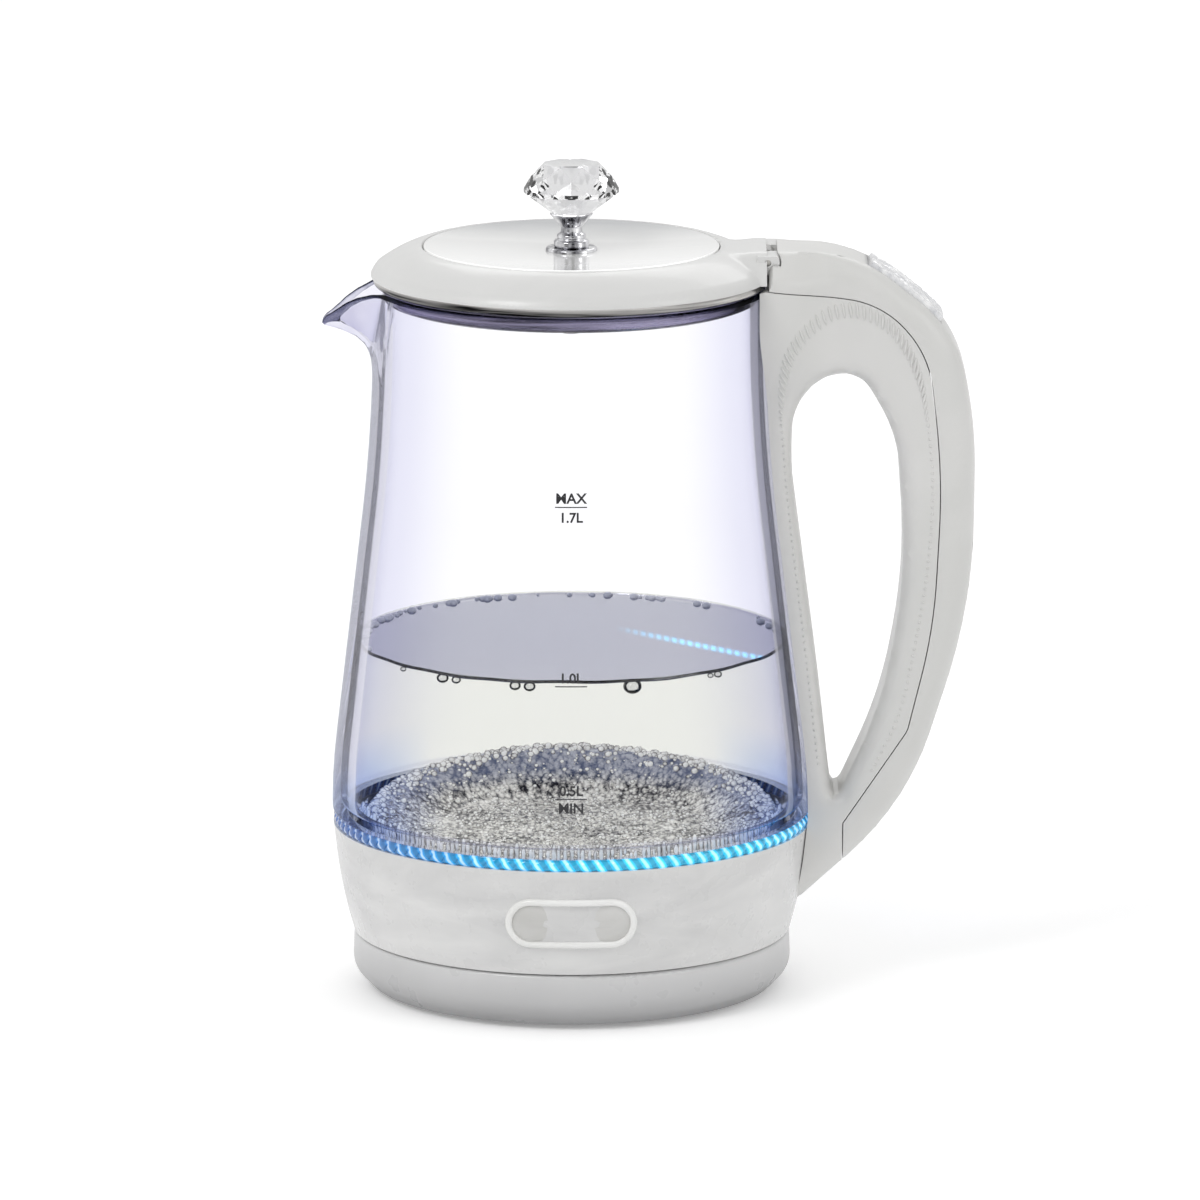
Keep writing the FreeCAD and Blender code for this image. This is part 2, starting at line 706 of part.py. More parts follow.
def lid_shell():
    """The moulded lid ring with its tongue and hinge knuckles."""
    rim = size.lid_rim
    ring = new_body("lid_ring")
    revolve(ring, outline(ring, "XZ", [
        (size.lid_radius, rim, 0.3),
        (size.lid_radius - 0.2, rim + 2.0, 1.4),
        (52.5, rim + 8.3, 20.0),
        (size.disc_radius + 0.2, rim + size.disc_edge + 0.1, 0.3),
        (size.disc_radius + 0.2, rim + 6.8),
        (42.0, rim + 6.8), (42.0, rim + 5.1), (52.0, rim + 4.9, 3.0),
        (size.lid_radius - 1.9, rim + 0.6), (size.lid_radius - 1.9, rim),
    ]))
    boss = extrude(ring, circles(ring, "XY", [(size.lid_screw_circle, 0.0, size.boss_radius)],
                                 rim - size.plug_depth + 0.8), size.plug_depth + 4.8)
    repeat(ring, [boss], 4)
    doc.recompute()
    pilot = extrude(ring, circles(ring, "XY", [(size.lid_screw_circle, 0.0, size.pilot_radius)],
                                  rim - size.plug_depth), 9.0, "Pocket", back=True)
    repeat(ring, [pilot], 4)

    face = size.handle_face - 0.6
    trimmed = hinge_side_cut("lid_ring_trimmed", ring, face)

    tongue = new_body("lid_tongue")
    extrude(tongue, outline(tongue, "XZ", [
        (47.0, rim), (face, rim), (face, lid_top + 1.0), (47.0, lid_top + 1.0),
    ]), size.tongue_half_width * 2.0, both=True)
    axis = size.hinge_reach
    barrel = size.barrel_radius
    extrude(tongue, outline(tongue, "XZ", [
        (47.0, hinge_level - barrel), (axis + barrel, hinge_level - barrel, barrel * 0.99),
        (axis + barrel, hinge_level + barrel, barrel * 0.99), (47.0, hinge_level + barrel),
    ]), 32.8, both=True)
    section = new_body("lid_tongue_section")
    extrude(section, tongue_outline(section), 80.0)
    shaped = combine("Common", "lid_tongue_shaped", tongue, section)
    recess = new_body("lid_tongue_recess")
    extrude(recess, circles(recess, "XY", [(0.0, 0.0, size.disc_radius + 0.2)], rim - 1.0), 20.0)
    ended = combine("Cut", "lid_tongue_ended", shaped, recess)
    hollow = new_body("lid_tongue_hollow")
    half = 18.0
    extrude(hollow, outline(hollow, "XY", [
        (48.5, -half), (55.0, -half), (55.0, half), (48.5, half),
    ], rim - 1.0), 7.0)
    opened = combine("Cut", "lid_tongue_opened", ended, hollow)
    whole = combine("Fuse", "lid_whole", trimmed, opened)

    space = new_body("lid_lug_space")
    extrude(space, outline(space, "XZ", [
        (axis - 4.4, rim - 1.0), (axis + 6.0, rim - 1.0),
        (axis + 6.0, lid_top - 0.5), (axis - 4.4, lid_top - 0.5),
    ]), 10.2, both=True)
    extrude(space, circles(space, "XZ", [
        (axis, hinge_level, size.hinge_pin_radius + size.pin_gap)]), 30.0, both=True)
    keep("lid_shell", combine("Cut", "lid_shell", whole, space))


def tongue_outline(body):
    """The section across the lid's tongue and the front of the handle."""
    half = size.tongue_half_width
    return outline(body, "YZ", mirrored([
        (size.handle_half_width - 0.4, 186.0),
        (half, 210.0, 14.0),
        (half, size.lid_rim + 1.0, 3.0),
        (13.6, lid_top, 4.6),
    ]), 40.0)


def lid_parts():
    """The lid's glossy disc, steel liner, seal, screws and knob."""
    rim = size.lid_rim
    top = rim + size.disc_edge
    half = size.disc_radius * 0.5
    bend = float(half * half * 1.75) / float(size.disc_dish)
    disc = new_body("lid_disc")
    revolve(disc, outline(disc, "XZ", [
        (2.1, disc_centre - 2.2), (half, disc_centre - 2.2, bend),
        (size.disc_radius, top - 2.2), (size.disc_radius, top, 0.5),
        (half, disc_centre, bend), (2.1, disc_centre),
    ]))
    keep("lid_disc", disc)

    steel = size.sheet_steel
    low = rim - size.plug_depth
    flange = rim - 2.6
    liner = new_body("lid_liner_turned")
    revolve(liner, outline(liner, "XZ", [
        (0.0, low), (size.plug_radius, low, 2.2), (size.plug_radius, flange, 0.6),
        (size.neck_radius - 0.3, flange, 1.0), (size.neck_radius - 0.3, rim - 0.1),
        (size.neck_radius - 0.3 - steel, rim - 0.1),
        (size.neck_radius - 0.3 - steel, flange + steel, 0.3),
        (size.plug_radius - steel, flange + steel, 1.2),
        (size.plug_radius - steel, low + steel, 1.4), (0.0, low + steel),
    ]))
    doc.recompute()
    clear = extrude(liner, circles(liner, "XY", [
        (size.lid_screw_circle, 0.0, size.clearance_radius)], low - 1.0), 3.0,
                    "Pocket", back=True)
    repeat(liner, [clear], 4)
    keep("lid_liner", hinge_side_cut("lid_liner", liner, size.handle_face - 1.6))
    screws("lid_screws", size.lid_screw_circle, low - 0.85, 8.6, 4)
    turned("lid_seal", [
        (size.plug_radius + 0.05, rim - 7.4), (size.plug_radius + 0.7, rim - 7.4, 0.3),
        (size.plug_radius + 1.0, rim - 5.0, 0.8), (size.plug_radius + 0.6, rim - 3.4),
        (size.plug_radius + 0.05, rim - 3.4),
    ])


def knob():
    """The cut-crystal knob on its chromed stem and washer, with its screw."""
    washer_low = disc_centre + 0.08
    washer_top = washer_low + 1.0
    turned("knob_washer", [
        (1.6, washer_low), (8.0, washer_low), (8.0, washer_top, 0.7), (1.6, washer_top),
    ])
    neck = washer_top + 5.3
    cup = neck + 5.2
    turned("knob_stem", [
        (0.0, washer_top + 4.0), (1.5, washer_top + 4.0), (1.5, washer_top),
        (5.5, washer_top, 0.7), (5.5, washer_top + 2.3, 0.9), (4.0, washer_top + 2.4, 0.4),
        (4.9, washer_top + 3.6, 0.9), (3.3, washer_top + 4.8, 0.6), (3.3, neck + 1.0, 1.6),
        (6.8, cup, 0.12), (6.2, cup), (4.2, cup - 1.6), (0.0, cup - 1.6),
    ])
    crystal = new_body("knob_crystal")
    girdle = size.knob_girdle
    levels = [
        (4.1, cup - 1.5), (size.knob_radius, girdle - 0.6),
        (size.knob_radius, girdle + 0.6), (size.knob_radius * 0.61, size.knob_top),
    ]
    sections = [outline(crystal, "XY", polygon(radius, 12), level) for radius, level in levels]
    loft = crystal.newObject("PartDesign::AdditiveLoft", "knob_loft")
    loft.Profile = sections[0]
    loft.Sections = sections[1:]
    loft.Ruled = True
    keep("knob_crystal", crystal)
    screw = new_body("knob_screw")
    extrude(screw, circles(screw, "XY", [(0.0, 0.0, 3.4)], disc_centre - 3.6), 1.3)
    extrude(screw, circles(screw, "XY", [(0.0, 0.0, 1.4)], disc_centre - 3.6), 8.2)
    keep("knob_screw", screw)


def polygon(radius, sides):
    """The corners of a regular polygon."""
    corners = []
    for index in range(sides):
        angle = 2 * math.pi * index / sides
        corners.append((radius * math.cos(angle), radius * math.sin(angle)))
    return corners


# ---------------------------------------------------------------- handle

REACH = size.handle_reach
HANDLE_BACK = [
    (61.0, lid_top), (88.5, lid_top - 1.1), (119.0, 209.5), (REACH, 179.5),
    (REACH - 0.5, 122.0), (104.5, 58.5), (68.0, 25.5),
]
HANDLE_HOLE = [
    (68.0, 166.5), (68.5, 185.0), (77.0, 195.5), (89.5, 196.5), (101.0, 177.0),
    (104.0, 132.5), (96.5, 91.0), (81.5, 58.5), (80.0, 70.0), (77.0, 98.0),
]
HANDLE_SEAM = [
    (60.0, 223.6), (96.0, 218.5), (110.5, 202.5), (115.0, 164.5), (112.5, 116.0),
    (104.5, 83.5), (84.5, 54.0),
]
# The middle of the switch on the handle's back, and the slope of the back there.
SWITCH_PLACE = Vector(103.75, 0.0, 221.5)
SWITCH_SLOPE = 38.2


def side_view(label, width):
    """The handle seen from the side, with its finger hole, as a plain prism."""
    body = new_body(label)
    back = smooth(HANDLE_BACK)
    back[0] = (size.handle_face, lid_top)
    shelf = size.lid_rim - 0.4
    front = [(56.0, 25.5), (56.0, shelf), (size.handle_face, shelf)]
    extrude(body, outline(body, "XZ", back + front), width, both=True)
    doc.recompute()
    extrude(body, outline(body, "XZ", smooth(HANDLE_HOLE, closed=True)), 60.0, "Pocket", both=True)
    doc.recompute()
    return body


def round_edges(body, radius, chosen):
    """Fillet the edges of a body's newest feature that a test picks out."""
    base = body.Tip
    names = [f"Edge{number}" for number, edge in enumerate(base.Shape.Edges, start=1)
             if chosen(edge.CenterOfMass)]
    fillet = body.newObject("PartDesign::Fillet", f"{body.Name}_fillet")
    fillet.Base = (base, names)
    bind(fillet, "Radius", radius)
    doc.recompute()


def handle_blank():
    """The whole handle as one solid: a rounded loop, flared where it meets the lid."""
    half = size.handle_half_width
    loop = side_view("handle_loop", half * 2.0)

    def on_side(place):
        return abs(abs(place.y) - half) < 0.05 and place.x > 61.5 and place.z > 28.0

    def in_hole(place):
        return on_side(place) and 60.0 < place.z < 197.5 and 66.0 < place.x < 104.6

    round_edges(loop, size.grip_rounding, lambda place: on_side(place) and not in_hole(place))
    round_edges(loop, size.hole_rounding, in_hole)
    wide = side_view("handle_wide", 60.0)
    front_view = new_body("handle_front")
    extrude(front_view, tongue_outline(front_view), 60.0)
    above = new_body("handle_above")
    extrude(above, outline(above, "XY", [
        (50.0, -22.5), (62.5, -21.8, 4.0), (74.0, -half - 1.2, 16.0), (86.0, -half + 0.6),
        (86.0, half - 0.6), (74.0, half + 1.2, 16.0), (62.5, 21.8, 4.0), (50.0, 22.5),
    ]), 240.0)
    flare = combine("Common", "handle_flare", combine(
        "Common", "handle_two_views", wide, front_view), above)
    return combine("Fuse", "handle_blank", loop, flare)


def vessel_form():
    """The space that the glass and the lower shell take up, which the handle wraps round."""
    body = new_body("vessel_form")
    gap = 0.3
    revolve(body, outline(body, "XZ", [
        (0.0, 0.0), (size.shell_bottom_radius, 0.0), *shell_outer(),
        (size.glass_radius + gap, size.shell_top), (size.glass_radius + gap, 56.0),
        *glass_outer(gap)[3:], (size.neck_radius + gap, size.lid_rim + 0.6),
        (0.0, size.lid_rim + 0.6),
    ]))
    return body


def handle():
    """The handle's ribbed frame and its back cover, hollow, round the vessel."""
    wrapped = combine("Cut", "handle_wrapped", handle_blank(), vessel_form())
    cavity = new_body("handle_cavity")
    channel = [(69.0, lid_top - 3.0), (87.5, 230.4), (116.3, 207.9), (REACH - 3.1, 179.0),
               (REACH - 3.6, 122.5), (101.9, 60.5), (88.5, 48.0)]
    inside = [(86.5, 57.5), (99.4, 90.0), (107.1, 132.5), (103.9, 178.3), (91.0, 199.6),
              (69.0, 199.0)]
    extrude(cavity, outline(cavity, "XZ", smooth(channel) + smooth(inside)), 23.0, both=True)
    duct = doc.addObject("Part::Cylinder", "wire_duct")
    duct.Radius = 3.2
    duct.Height = 34.0
    duct.Placement = FreeCAD.Placement(
        Vector(90.7, 0.0, 52.0), FreeCAD.Rotation(Vector(0, 0, 1), Vector(-21.2, 0.0, -15.4)))
    hollow = combine("Fuse", "handle_hollow", cavity, duct)
    light = combine("Cut", "handle_light", wrapped, hollow)

    region = new_body("handle_front_region")
    seam = smooth(HANDLE_SEAM)
    extrude(region, outline(region, "XZ", seam + [(84.5, 20.0), (40.0, 20.0), (40.0, 223.6)]),
            60.0, both=True)
    frame = combine("Common", "handle_frame_solid", light, region)
    keep("handle_frame", combine("Cut", "handle_frame", frame, frame_screw_holes()))
    cover = combine("Cut", "handle_cover_solid", light, region)
    return cover, duct


def foot_screw_places(radius):
    """Circles of one radius at the two screws in the handle's foot."""
    return [(-size.foot_screw_offset, size.foot_screw_level, radius),
            (size.foot_screw_offset, size.foot_screw_level, radius)]


def frame_screw_holes():
    """Clearance holes in the handle's foot for the screws from inside the shell."""
    holes = new_body("handle_foot_holes", compound=True)
    extrude(holes, circles(holes, "YZ", foot_screw_places(size.pilot_radius), 68.0), 10.0)
    return holes


def placed(item, place, axis=Vector(0, 1, 0), angle=0.0):
    """Move an object to a place and turn it about an axis through that place."""
    item.Placement = FreeCAD.Placement(place, FreeCAD.Rotation(axis, angle))
    return item


def cover_openings():
    """The cover's switch window, switch pin holes, hinge pocket and bracket slot."""
    gap = size.moving_gap
    half_length = size.rocker_half_length + 2 * gap
    window = new_body("switch_window")
    extrude(window, outline(window, "XZ", [
        (-half_length, -4.0), (half_length, -4.0), (half_length, 6.0), (-half_length, 6.0),
    ]), (size.rocker_half_width + gap) * 2.0, both=True)
    extrude(window, circles(window, "XZ", [(0.0, -size.switch_pin_depth, size.switch_pin_radius)]),
            26.6, both=True)
    placed(window, SWITCH_PLACE, angle=SWITCH_SLOPE)

    pocket = new_body("hinge_pocket")
    extrude(pocket, circles(pocket, "XZ", [
        (size.hinge_reach, hinge_level, size.barrel_radius + gap)]), 33.6, both=True)
    extrude(pocket, bracket_leg(pocket, 0.05), 9.7, both=True)
    return combine("Fuse", "cover_openings", window, pocket)


def bracket_leg(body, extra):
    """The hinge bracket's leg, from beside the hinge pin down into the handle."""
    axis = size.hinge_reach
    return outline(body, "XZ", [
        (axis + 0.2, hinge_level - 5.2 - extra), (axis + 8.9 + extra, hinge_level - 5.2 - extra),
        (axis + 8.9 + extra, hinge_level - 2.6 + extra), (axis + 0.2, hinge_level - 2.6 + extra),
    ])


def hinge():
    """The steel bracket and pin that the lid swings on."""
    body = new_body("hinge_bracket")
    axis = size.hinge_reach
    extrude(body, circles(body, "XZ", [(axis, hinge_level, 2.2)]), 9.4, both=True)
    doc.recompute()
    extrude(body, outline(body, "XZ", [
        (axis - 0.8, hinge_level - 4.2), (axis + 2.0, hinge_level - 5.2),
        (axis + 2.0, hinge_level - 2.6), (axis + 1.4, hinge_level - 0.8),
        (axis - 1.4, hinge_level - 0.8),
    ]), 9.4, both=True)
    extrude(body, bracket_leg(body, 0.0), 9.4, both=True)
    extrude(body, outline(body, "XZ", [
        (69.1, hinge_level - 12.0), (70.7, hinge_level - 12.0),
        (70.7, hinge_level - 2.6), (69.1, hinge_level - 2.6),
    ]), 9.4, both=True)
    doc.recompute()
    extrude(body, circles(body, "XZ", [(axis, hinge_level, size.hinge_pin_radius + 0.02)]), 12.0,
            "Pocket", both=True)
    keep("hinge_bracket", body)
    pin = new_body("hinge_pin")
    extrude(pin, circles(pin, "XZ", [(axis, hinge_level, size.hinge_pin_radius)]), 29.0, both=True)
    keep("hinge_pin", pin)


def switch():
    """The clear rocker on the handle's back, its pin, and the steam switch below it."""
    half = size.rocker_half_length
    rise = size.rocker_rise
    rocker = new_body("switch_rocker")
    extrude(rocker, outline(rocker, "XZ", [
        (-half, -1.6, 0.6), (-half, rise - 1.0, 1.0), (-half * 0.4, rise + 0.2, 40.0),
        (half * 0.4, rise + 0.2, 40.0), (half, rise - 1.0, 1.0), (half, -1.6, 0.6),
        (2.6, -1.6), (2.6, -7.2, 2.5), (-2.6, -7.2, 2.5), (-2.6, -1.6),
    ]), size.rocker_half_width * 2.0, both=True)
    doc.recompute()
    extrude(rocker, circles(rocker, "XZ", [
        (0.0, -size.switch_pin_depth, size.switch_pin_radius + size.pin_gap)]), 30.0, "Pocket",
            both=True)
    keep("switch_rocker", placed(rocker, SWITCH_PLACE, angle=SWITCH_SLOPE))
    pin = new_body("switch_pin")
    extrude(pin, circles(pin, "XZ", [(0.0, -size.switch_pin_depth, size.switch_pin_radius)]),
            26.4, both=True)
    keep("switch_pin", placed(pin, SWITCH_PLACE, angle=SWITCH_SLOPE))

    module = new_body("steam_switch")
    extrude(module, outline(module, "XZ", [
        (74.0, 205.0, 1.0), (88.0, 205.0, 1.0), (88.0, 223.0, 1.0), (74.0, 223.0, 1.0),
    ]), 19.0, both=True)
    keep("steam_switch", module)
    disc = new_body("steam_bimetal")
    extrude(disc, circles(disc, "YZ", [(0.0, 214.0, 7.5)], 72.6), 1.2)
    keep("steam_bimetal", disc)


def wires():
    """The pair of wires from the steam switch down the handle to the control."""
    body = new_body("switch_wires", compound=True)
    route = [(88.2, 209.0), (106.0, 209.0, 10.0), (116.0, 186.0, 14.0), (116.5, 122.0, 60.0),
             (97.0, 63.0, 30.0), (88.0, 50.0, 12.0), (66.8, 34.6, 12.0), (21.3, 34.6)]
    for offset in (-1.4, 1.4):
        path = outline(body, "XZ", route, lift=offset, closed=False)
        section = circles(body, "YZ", [(-offset, 209.0, 0.9)], 88.2)
        doc.recompute()
        pipe = body.newObject("PartDesign::AdditivePipe", "wire")
        pipe.Profile = section
        pipe.Spine = path
        doc.recompute()
    keep("switch_wires", body)


def finish_shells(cover, duct):
    """Cut the openings that the handle and the cord need in the cover and lower shell."""
    keep("handle_cover", combine("Cut", "handle_cover", cover, cover_openings()))
    shell = lower_shell()
    entry = combine("Cut", "lower_shell_ducted", shell, duct)
    keep("lower_shell", combine("Cut", "lower_shell", entry, foot_screw_passages()))


def foot_screw_passages():
    """Holes through the lower shell for the handle's two foot screws."""
    holes = new_body("shell_foot_holes", compound=True)
    extrude(holes, circles(holes, "YZ", foot_screw_places(size.clearance_radius), 60.0), 16.0)
    return holes


def foot_screws():
    """The two screws that hold the handle's foot from inside the shell."""
    body = new_body("handle_screws", compound=True)
    extrude(body, circles(body, "YZ", foot_screw_places(2.7), 67.6), 0.8)
    doc.recompute()
    extrude(body, circles(body, "YZ", foot_screw_places(size.screw_radius), 67.6), 9.5)
    keep("handle_screws", body)


# ---------------------------------------------------------------- build and write

def check_document():
    """Stop if any object failed to compute or any sub-part isn't a valid solid."""
    for item in doc.Objects:
        if "Invalid" in item.State or "Error" in item.State:
            raise RuntimeError(f"{item.Label} did not compute: {item.State}")
    for name, item in nodes.items():
        shape = item.Shape
        if shape.isNull() or not shape.isValid() or not shape.Solids:
            raise RuntimeError(f"{name} is not a valid solid")


def main():
    power_base()
    connector()
    underside()
    heater()
    light_ring()
    badge()
    glass()
    lid_shell()
    lid_parts()
    knob()
    cover, duct = handle()
    finish_shells(cover, duct)
    foot_screws()
    hinge()
    switch()
    wires()
    doc.recompute()
    check_document()
    os.makedirs("parts", exist_ok=True)
    for name, item in nodes.items():
        item.Shape.exportStep(f"parts/{name}.step")
        print(f"{name:20s} {len(item.Shape.Solids)} solids {item.Shape.Volume / 1000:8.2f} cm3")


main()
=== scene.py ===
import json
import math
import random

import bmesh
import bpy
import numpy as np
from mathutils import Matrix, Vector, geometry, kdtree


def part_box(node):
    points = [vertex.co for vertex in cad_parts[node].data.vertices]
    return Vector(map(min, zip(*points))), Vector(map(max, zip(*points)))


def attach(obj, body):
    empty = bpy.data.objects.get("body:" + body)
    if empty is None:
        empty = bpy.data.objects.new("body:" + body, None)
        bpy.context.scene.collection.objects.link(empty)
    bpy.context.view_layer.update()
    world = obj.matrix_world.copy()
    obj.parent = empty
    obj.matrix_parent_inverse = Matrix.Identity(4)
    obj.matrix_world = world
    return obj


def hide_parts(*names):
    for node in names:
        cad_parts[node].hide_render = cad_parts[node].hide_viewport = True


# Looks of a glass electric kettle on its power base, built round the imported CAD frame.
# The handle is towards +X, the spout towards -X, and the kettle's axis is Z.
# Lengths here are in millimetres; objects are made in metres.

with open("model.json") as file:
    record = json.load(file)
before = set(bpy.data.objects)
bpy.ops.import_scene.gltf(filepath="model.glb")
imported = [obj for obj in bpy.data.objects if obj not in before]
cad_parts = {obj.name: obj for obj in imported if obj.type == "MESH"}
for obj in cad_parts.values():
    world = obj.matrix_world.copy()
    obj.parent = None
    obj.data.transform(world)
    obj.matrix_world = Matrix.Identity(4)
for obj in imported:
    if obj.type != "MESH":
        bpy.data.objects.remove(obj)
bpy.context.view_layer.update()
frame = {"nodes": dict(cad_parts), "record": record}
nodes = frame["nodes"]

MM = 0.001
X, Y, Z = 0, 1, 2
LOW, HIGH = 0, 1
chance = random.Random(11)


def edge(node, side, axis):
    """Where one face of a CAD node's box lies, in millimetres."""
    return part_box(node)[side][axis] / MM


# Glass vessel
GLASS_FOOT = edge("glass_body", LOW, Z)
GLASS_TOP = edge("glass_body", HIGH, Z)
GLASS_RADIUS = edge("glass_body", HIGH, Y)
GLASS_SHOULDER = edge("light_guide", HIGH, Z) + 0.1
FOOT_RADIUS = edge("plate_seal", HIGH, Y)
NECK_RADIUS = edge("lid_liner", HIGH, Y) + 0.3
WALL = 2.5
TAPER_START = 69.0
TAPER_END = 179.0
SPOUT_TIP = -edge("glass_body", LOW, X)
PLATE = edge("heating_plate", LOW, Z) + 0.8
WATER_LEVEL = 111.0
FOAM_RADIUS = 65.3
# Light ring and shell
GUIDE_LOW = edge("lower_shell", HIGH, Z) + 0.1
GUIDE_RADIUS = edge("light_guide", HIGH, Y)
SHELL_LOW = edge("lower_shell", LOW, Z)
SHELL_WIDE = 72.3
SHELL_WIDE_LEVEL = 32.5
SHELL_BOTTOM_RADIUS = 68.3
BADGE_LEVEL = (edge("badge_rim", LOW, Z) + edge("badge_rim", HIGH, Z)) / 2
BADGE_HALF = edge("badge_rim", HIGH, X)
BADGE_RISE = edge("badge_rim", HIGH, Z) - BADGE_LEVEL
# Lid and knob
LID_RIM = edge("lid_liner", HIGH, Z) + 0.1
LID_RADIUS = edge("lid_shell", HIGH, Y)
DISC_RADIUS = edge("lid_disc", HIGH, Y)
LID_TOP = edge("handle_cover", HIGH, Z)
KNOB_TOP = edge("knob_crystal", HIGH, Z)
KNOB_RADIUS = edge("knob_crystal", HIGH, Y)
KNOB_LOW = edge("knob_crystal", LOW, Z)
HINGE = ((edge("hinge_pin", LOW, X) + edge("hinge_pin", HIGH, X)) / 2,
         (edge("hinge_pin", LOW, Z) + edge("hinge_pin", HIGH, Z)) / 2)
PIN_HOLE = 1.05
KNUCKLE_RADIUS = 3.7
KNUCKLE_SPAN = (5.3, 16.3)
TONGUE_HALF = edge("handle_frame", HIGH, Y)
# Handle and switch
HANDLE_HALF = 14.8
HANDLE_REACH = edge("handle_cover", HIGH, X)
HANDLE_FACE = HINGE[0] + 0.3
SWITCH_SLOPE = math.radians(38.2)
SWITCH_PIN = ((edge("switch_pin", LOW, X) + edge("switch_pin", HIGH, X)) / 2,
              (edge("switch_pin", LOW, Z) + edge("switch_pin", HIGH, Z)) / 2)


# ---------------------------------------------------------------- outlines

def polar(radius, turn, level):
    """A place at a distance from the kettle's axis, a turn from +X and a height."""
    return (radius * math.cos(turn), radius * math.sin(turn), level)


def full_turn(count):
    """Evenly spaced angles round a full turn, in radians."""
    return [2 * math.pi * k / count for k in range(count)]


def circle(radius, level, count):
    """A ring of places about the kettle's axis."""
    return [polar(radius, turn, level) for turn in full_turn(count)]


def read_off(line, places):
    """The values of a line of (place, value) points at other places."""
    known, values = zip(*line)
    return np.interp(places, known, values)


def rounded(corners, closed=True, steps=8):
    """Points along a line whose corners (x, y, radius) are rounded by arcs."""
    points = []
    count = len(corners)
    for index, corner in enumerate(corners):
        here = Vector(corner[:2])
        if len(corner) < 3 or (not closed and index in (0, count - 1)):
            points.append(tuple(here))
            continue
        come = (here - Vector(corners[index - 1][:2])).normalized()
        leave = (Vector(corners[(index + 1) % count][:2]) - here).normalized()
        turn = come.angle(leave)
        side = 1.0 if come.cross(leave) > 0 else -1.0
        start = here - come * corner[2] * math.tan(turn / 2)
        centre = start + Vector((-come.y, come.x)) * side * corner[2]
        arm = start - centre
        for step in range(steps + 1):
            angle = side * turn * step / steps
            points.append((
                centre.x + arm.x * math.cos(angle) - arm.y * math.sin(angle),
                centre.y + arm.x * math.sin(angle) + arm.y * math.cos(angle),
            ))
    return points


def smooth(points, closed=False):
    """Give each corner nearly the largest radius that its two runs allow."""
    corners = []
    for index, point in enumerate(points):
        if not closed and index in (0, len(points) - 1):
            corners.append(point)
            continue
        here = Vector(point)
        before = Vector(points[index - 1])
        after = Vector(points[(index + 1) % len(points)])
        turn = (here - before).angle(after - here)
        run = min((here - before).length, (after - here).length)
        corners.append((*point, 0.48 * run / math.tan(turn / 2)))
    return corners


def spaced(points, step, closed=False):
    """The same line as evenly spaced points, about a step apart."""
    line = np.array(points, float)
    if closed:
        line = np.vstack([line, line[:1]])
    runs = np.hypot(*np.diff(line, axis=0).T)
    way = np.concatenate([[0.0], np.cumsum(runs)])
    count = max(3, int(round(way[-1] / step)))
    marks = np.linspace(0.0, way[-1], count + 1)
    even = np.column_stack([np.interp(marks, way, line[:, k]) for k in range(line.shape[1])])
    return even[:-1] if closed else even


def ease(value, start, end):
    """A smooth step from 0 at start to 1 at end."""
    share = np.clip((np.asarray(value, float) - start) / (end - start), 0.0, 1.0)
    return share * share * (3.0 - 2.0 * share)


def distance(points, line, closed=False):
    """Each point's distance from a line of points."""
    line = np.array(line, float)
    if closed:
        line = np.vstack([line, line[:1]])
    best = np.full(len(points), 1e9)
    for a, b in zip(line[:-1], line[1:]):
        run = b - a
        share = np.clip(((points - a) @ run) / max(run @ run, 1e-12), 0.0, 1.0)
        gap = points - (a + share[:, None] * run)
        best = np.minimum(best, np.hypot(gap[:, 0], gap[:, 1]))
    return best


def inside(points, loop):
    """Which points lie inside a closed line, by counting crossings."""
    loop = np.array(loop, float)
    within = np.zeros(len(points), bool)
    x, y = points[:, 0], points[:, 1]
    for a, b in zip(loop, np.roll(loop, -1, axis=0)):
        if a[1] == b[1]:
            continue
        crosses = (a[1] > y) != (b[1] > y)
        within ^= crosses & (x < (b[0] - a[0]) * (y - a[1]) / (b[1] - a[1]) + a[0])
    return within


# ---------------------------------------------------------------- mesh building

# The angle above which an edge is sharp, for a piece that is round all over or cut in facets.
ROUND = 180.0
FACETED = 1.0


def solid(name, points, faces, material, crease=35.0):
    """A mesh object from points in millimetres, shaded smooth between its creases."""
    mesh = bpy.data.meshes.new(name)
    mesh.from_pydata([tuple(float(c) * MM for c in p) for p in points], [], faces)
    work = bmesh.new()
    work.from_mesh(mesh)
    bmesh.ops.remove_doubles(work, verts=work.verts, dist=1e-7)
    bmesh.ops.dissolve_degenerate(work, edges=work.edges, dist=1e-7)
    bmesh.ops.recalc_face_normals(work, faces=work.faces)
    work.to_mesh(mesh)
    work.free()
    mesh.shade_smooth()
    mesh.set_sharp_from_angle(angle=math.radians(crease))
    mesh.materials.append(material)
    made = bpy.data.objects.new(name, mesh)
    bpy.context.scene.collection.objects.link(made)
    return made


def add_grid(points, faces, rows, wrap_rows=False):
    """Add rings of points of equal length, and the four-sided faces between them."""
    start = len(points)
    height, width = len(rows), len(rows[0])
    for row in rows:
        points.extend(row)
    for i in range(height if wrap_rows else height - 1):
        for j in range(width):
            a, b = i * width, (i + 1) % height * width
            c = (j + 1) % width
            faces.append((start + a + j, start + a + c, start + b + c, start + b + j))


def lathe(name, profile, material):
    """Turn a closed profile of (radius, height) about the kettle's axis."""
    points, faces = [], []
    rows = [circle(radius, level, 180) for radius, level in profile]
    add_grid(points, faces, rows, wrap_rows=True)
    return solid(name, points, faces, material)


def sweep(points, faces, rings):
    """Add a closed tube through a list of rings of points."""
    add_grid(points, faces, rings)
    start = len(points) - len(rings) * len(rings[0])
    width = len(rings[0])
    faces.append(tuple(range(start, start + width)))
    last = start + (len(rings) - 1) * width
    faces.append(tuple(reversed(range(last, last + width))))


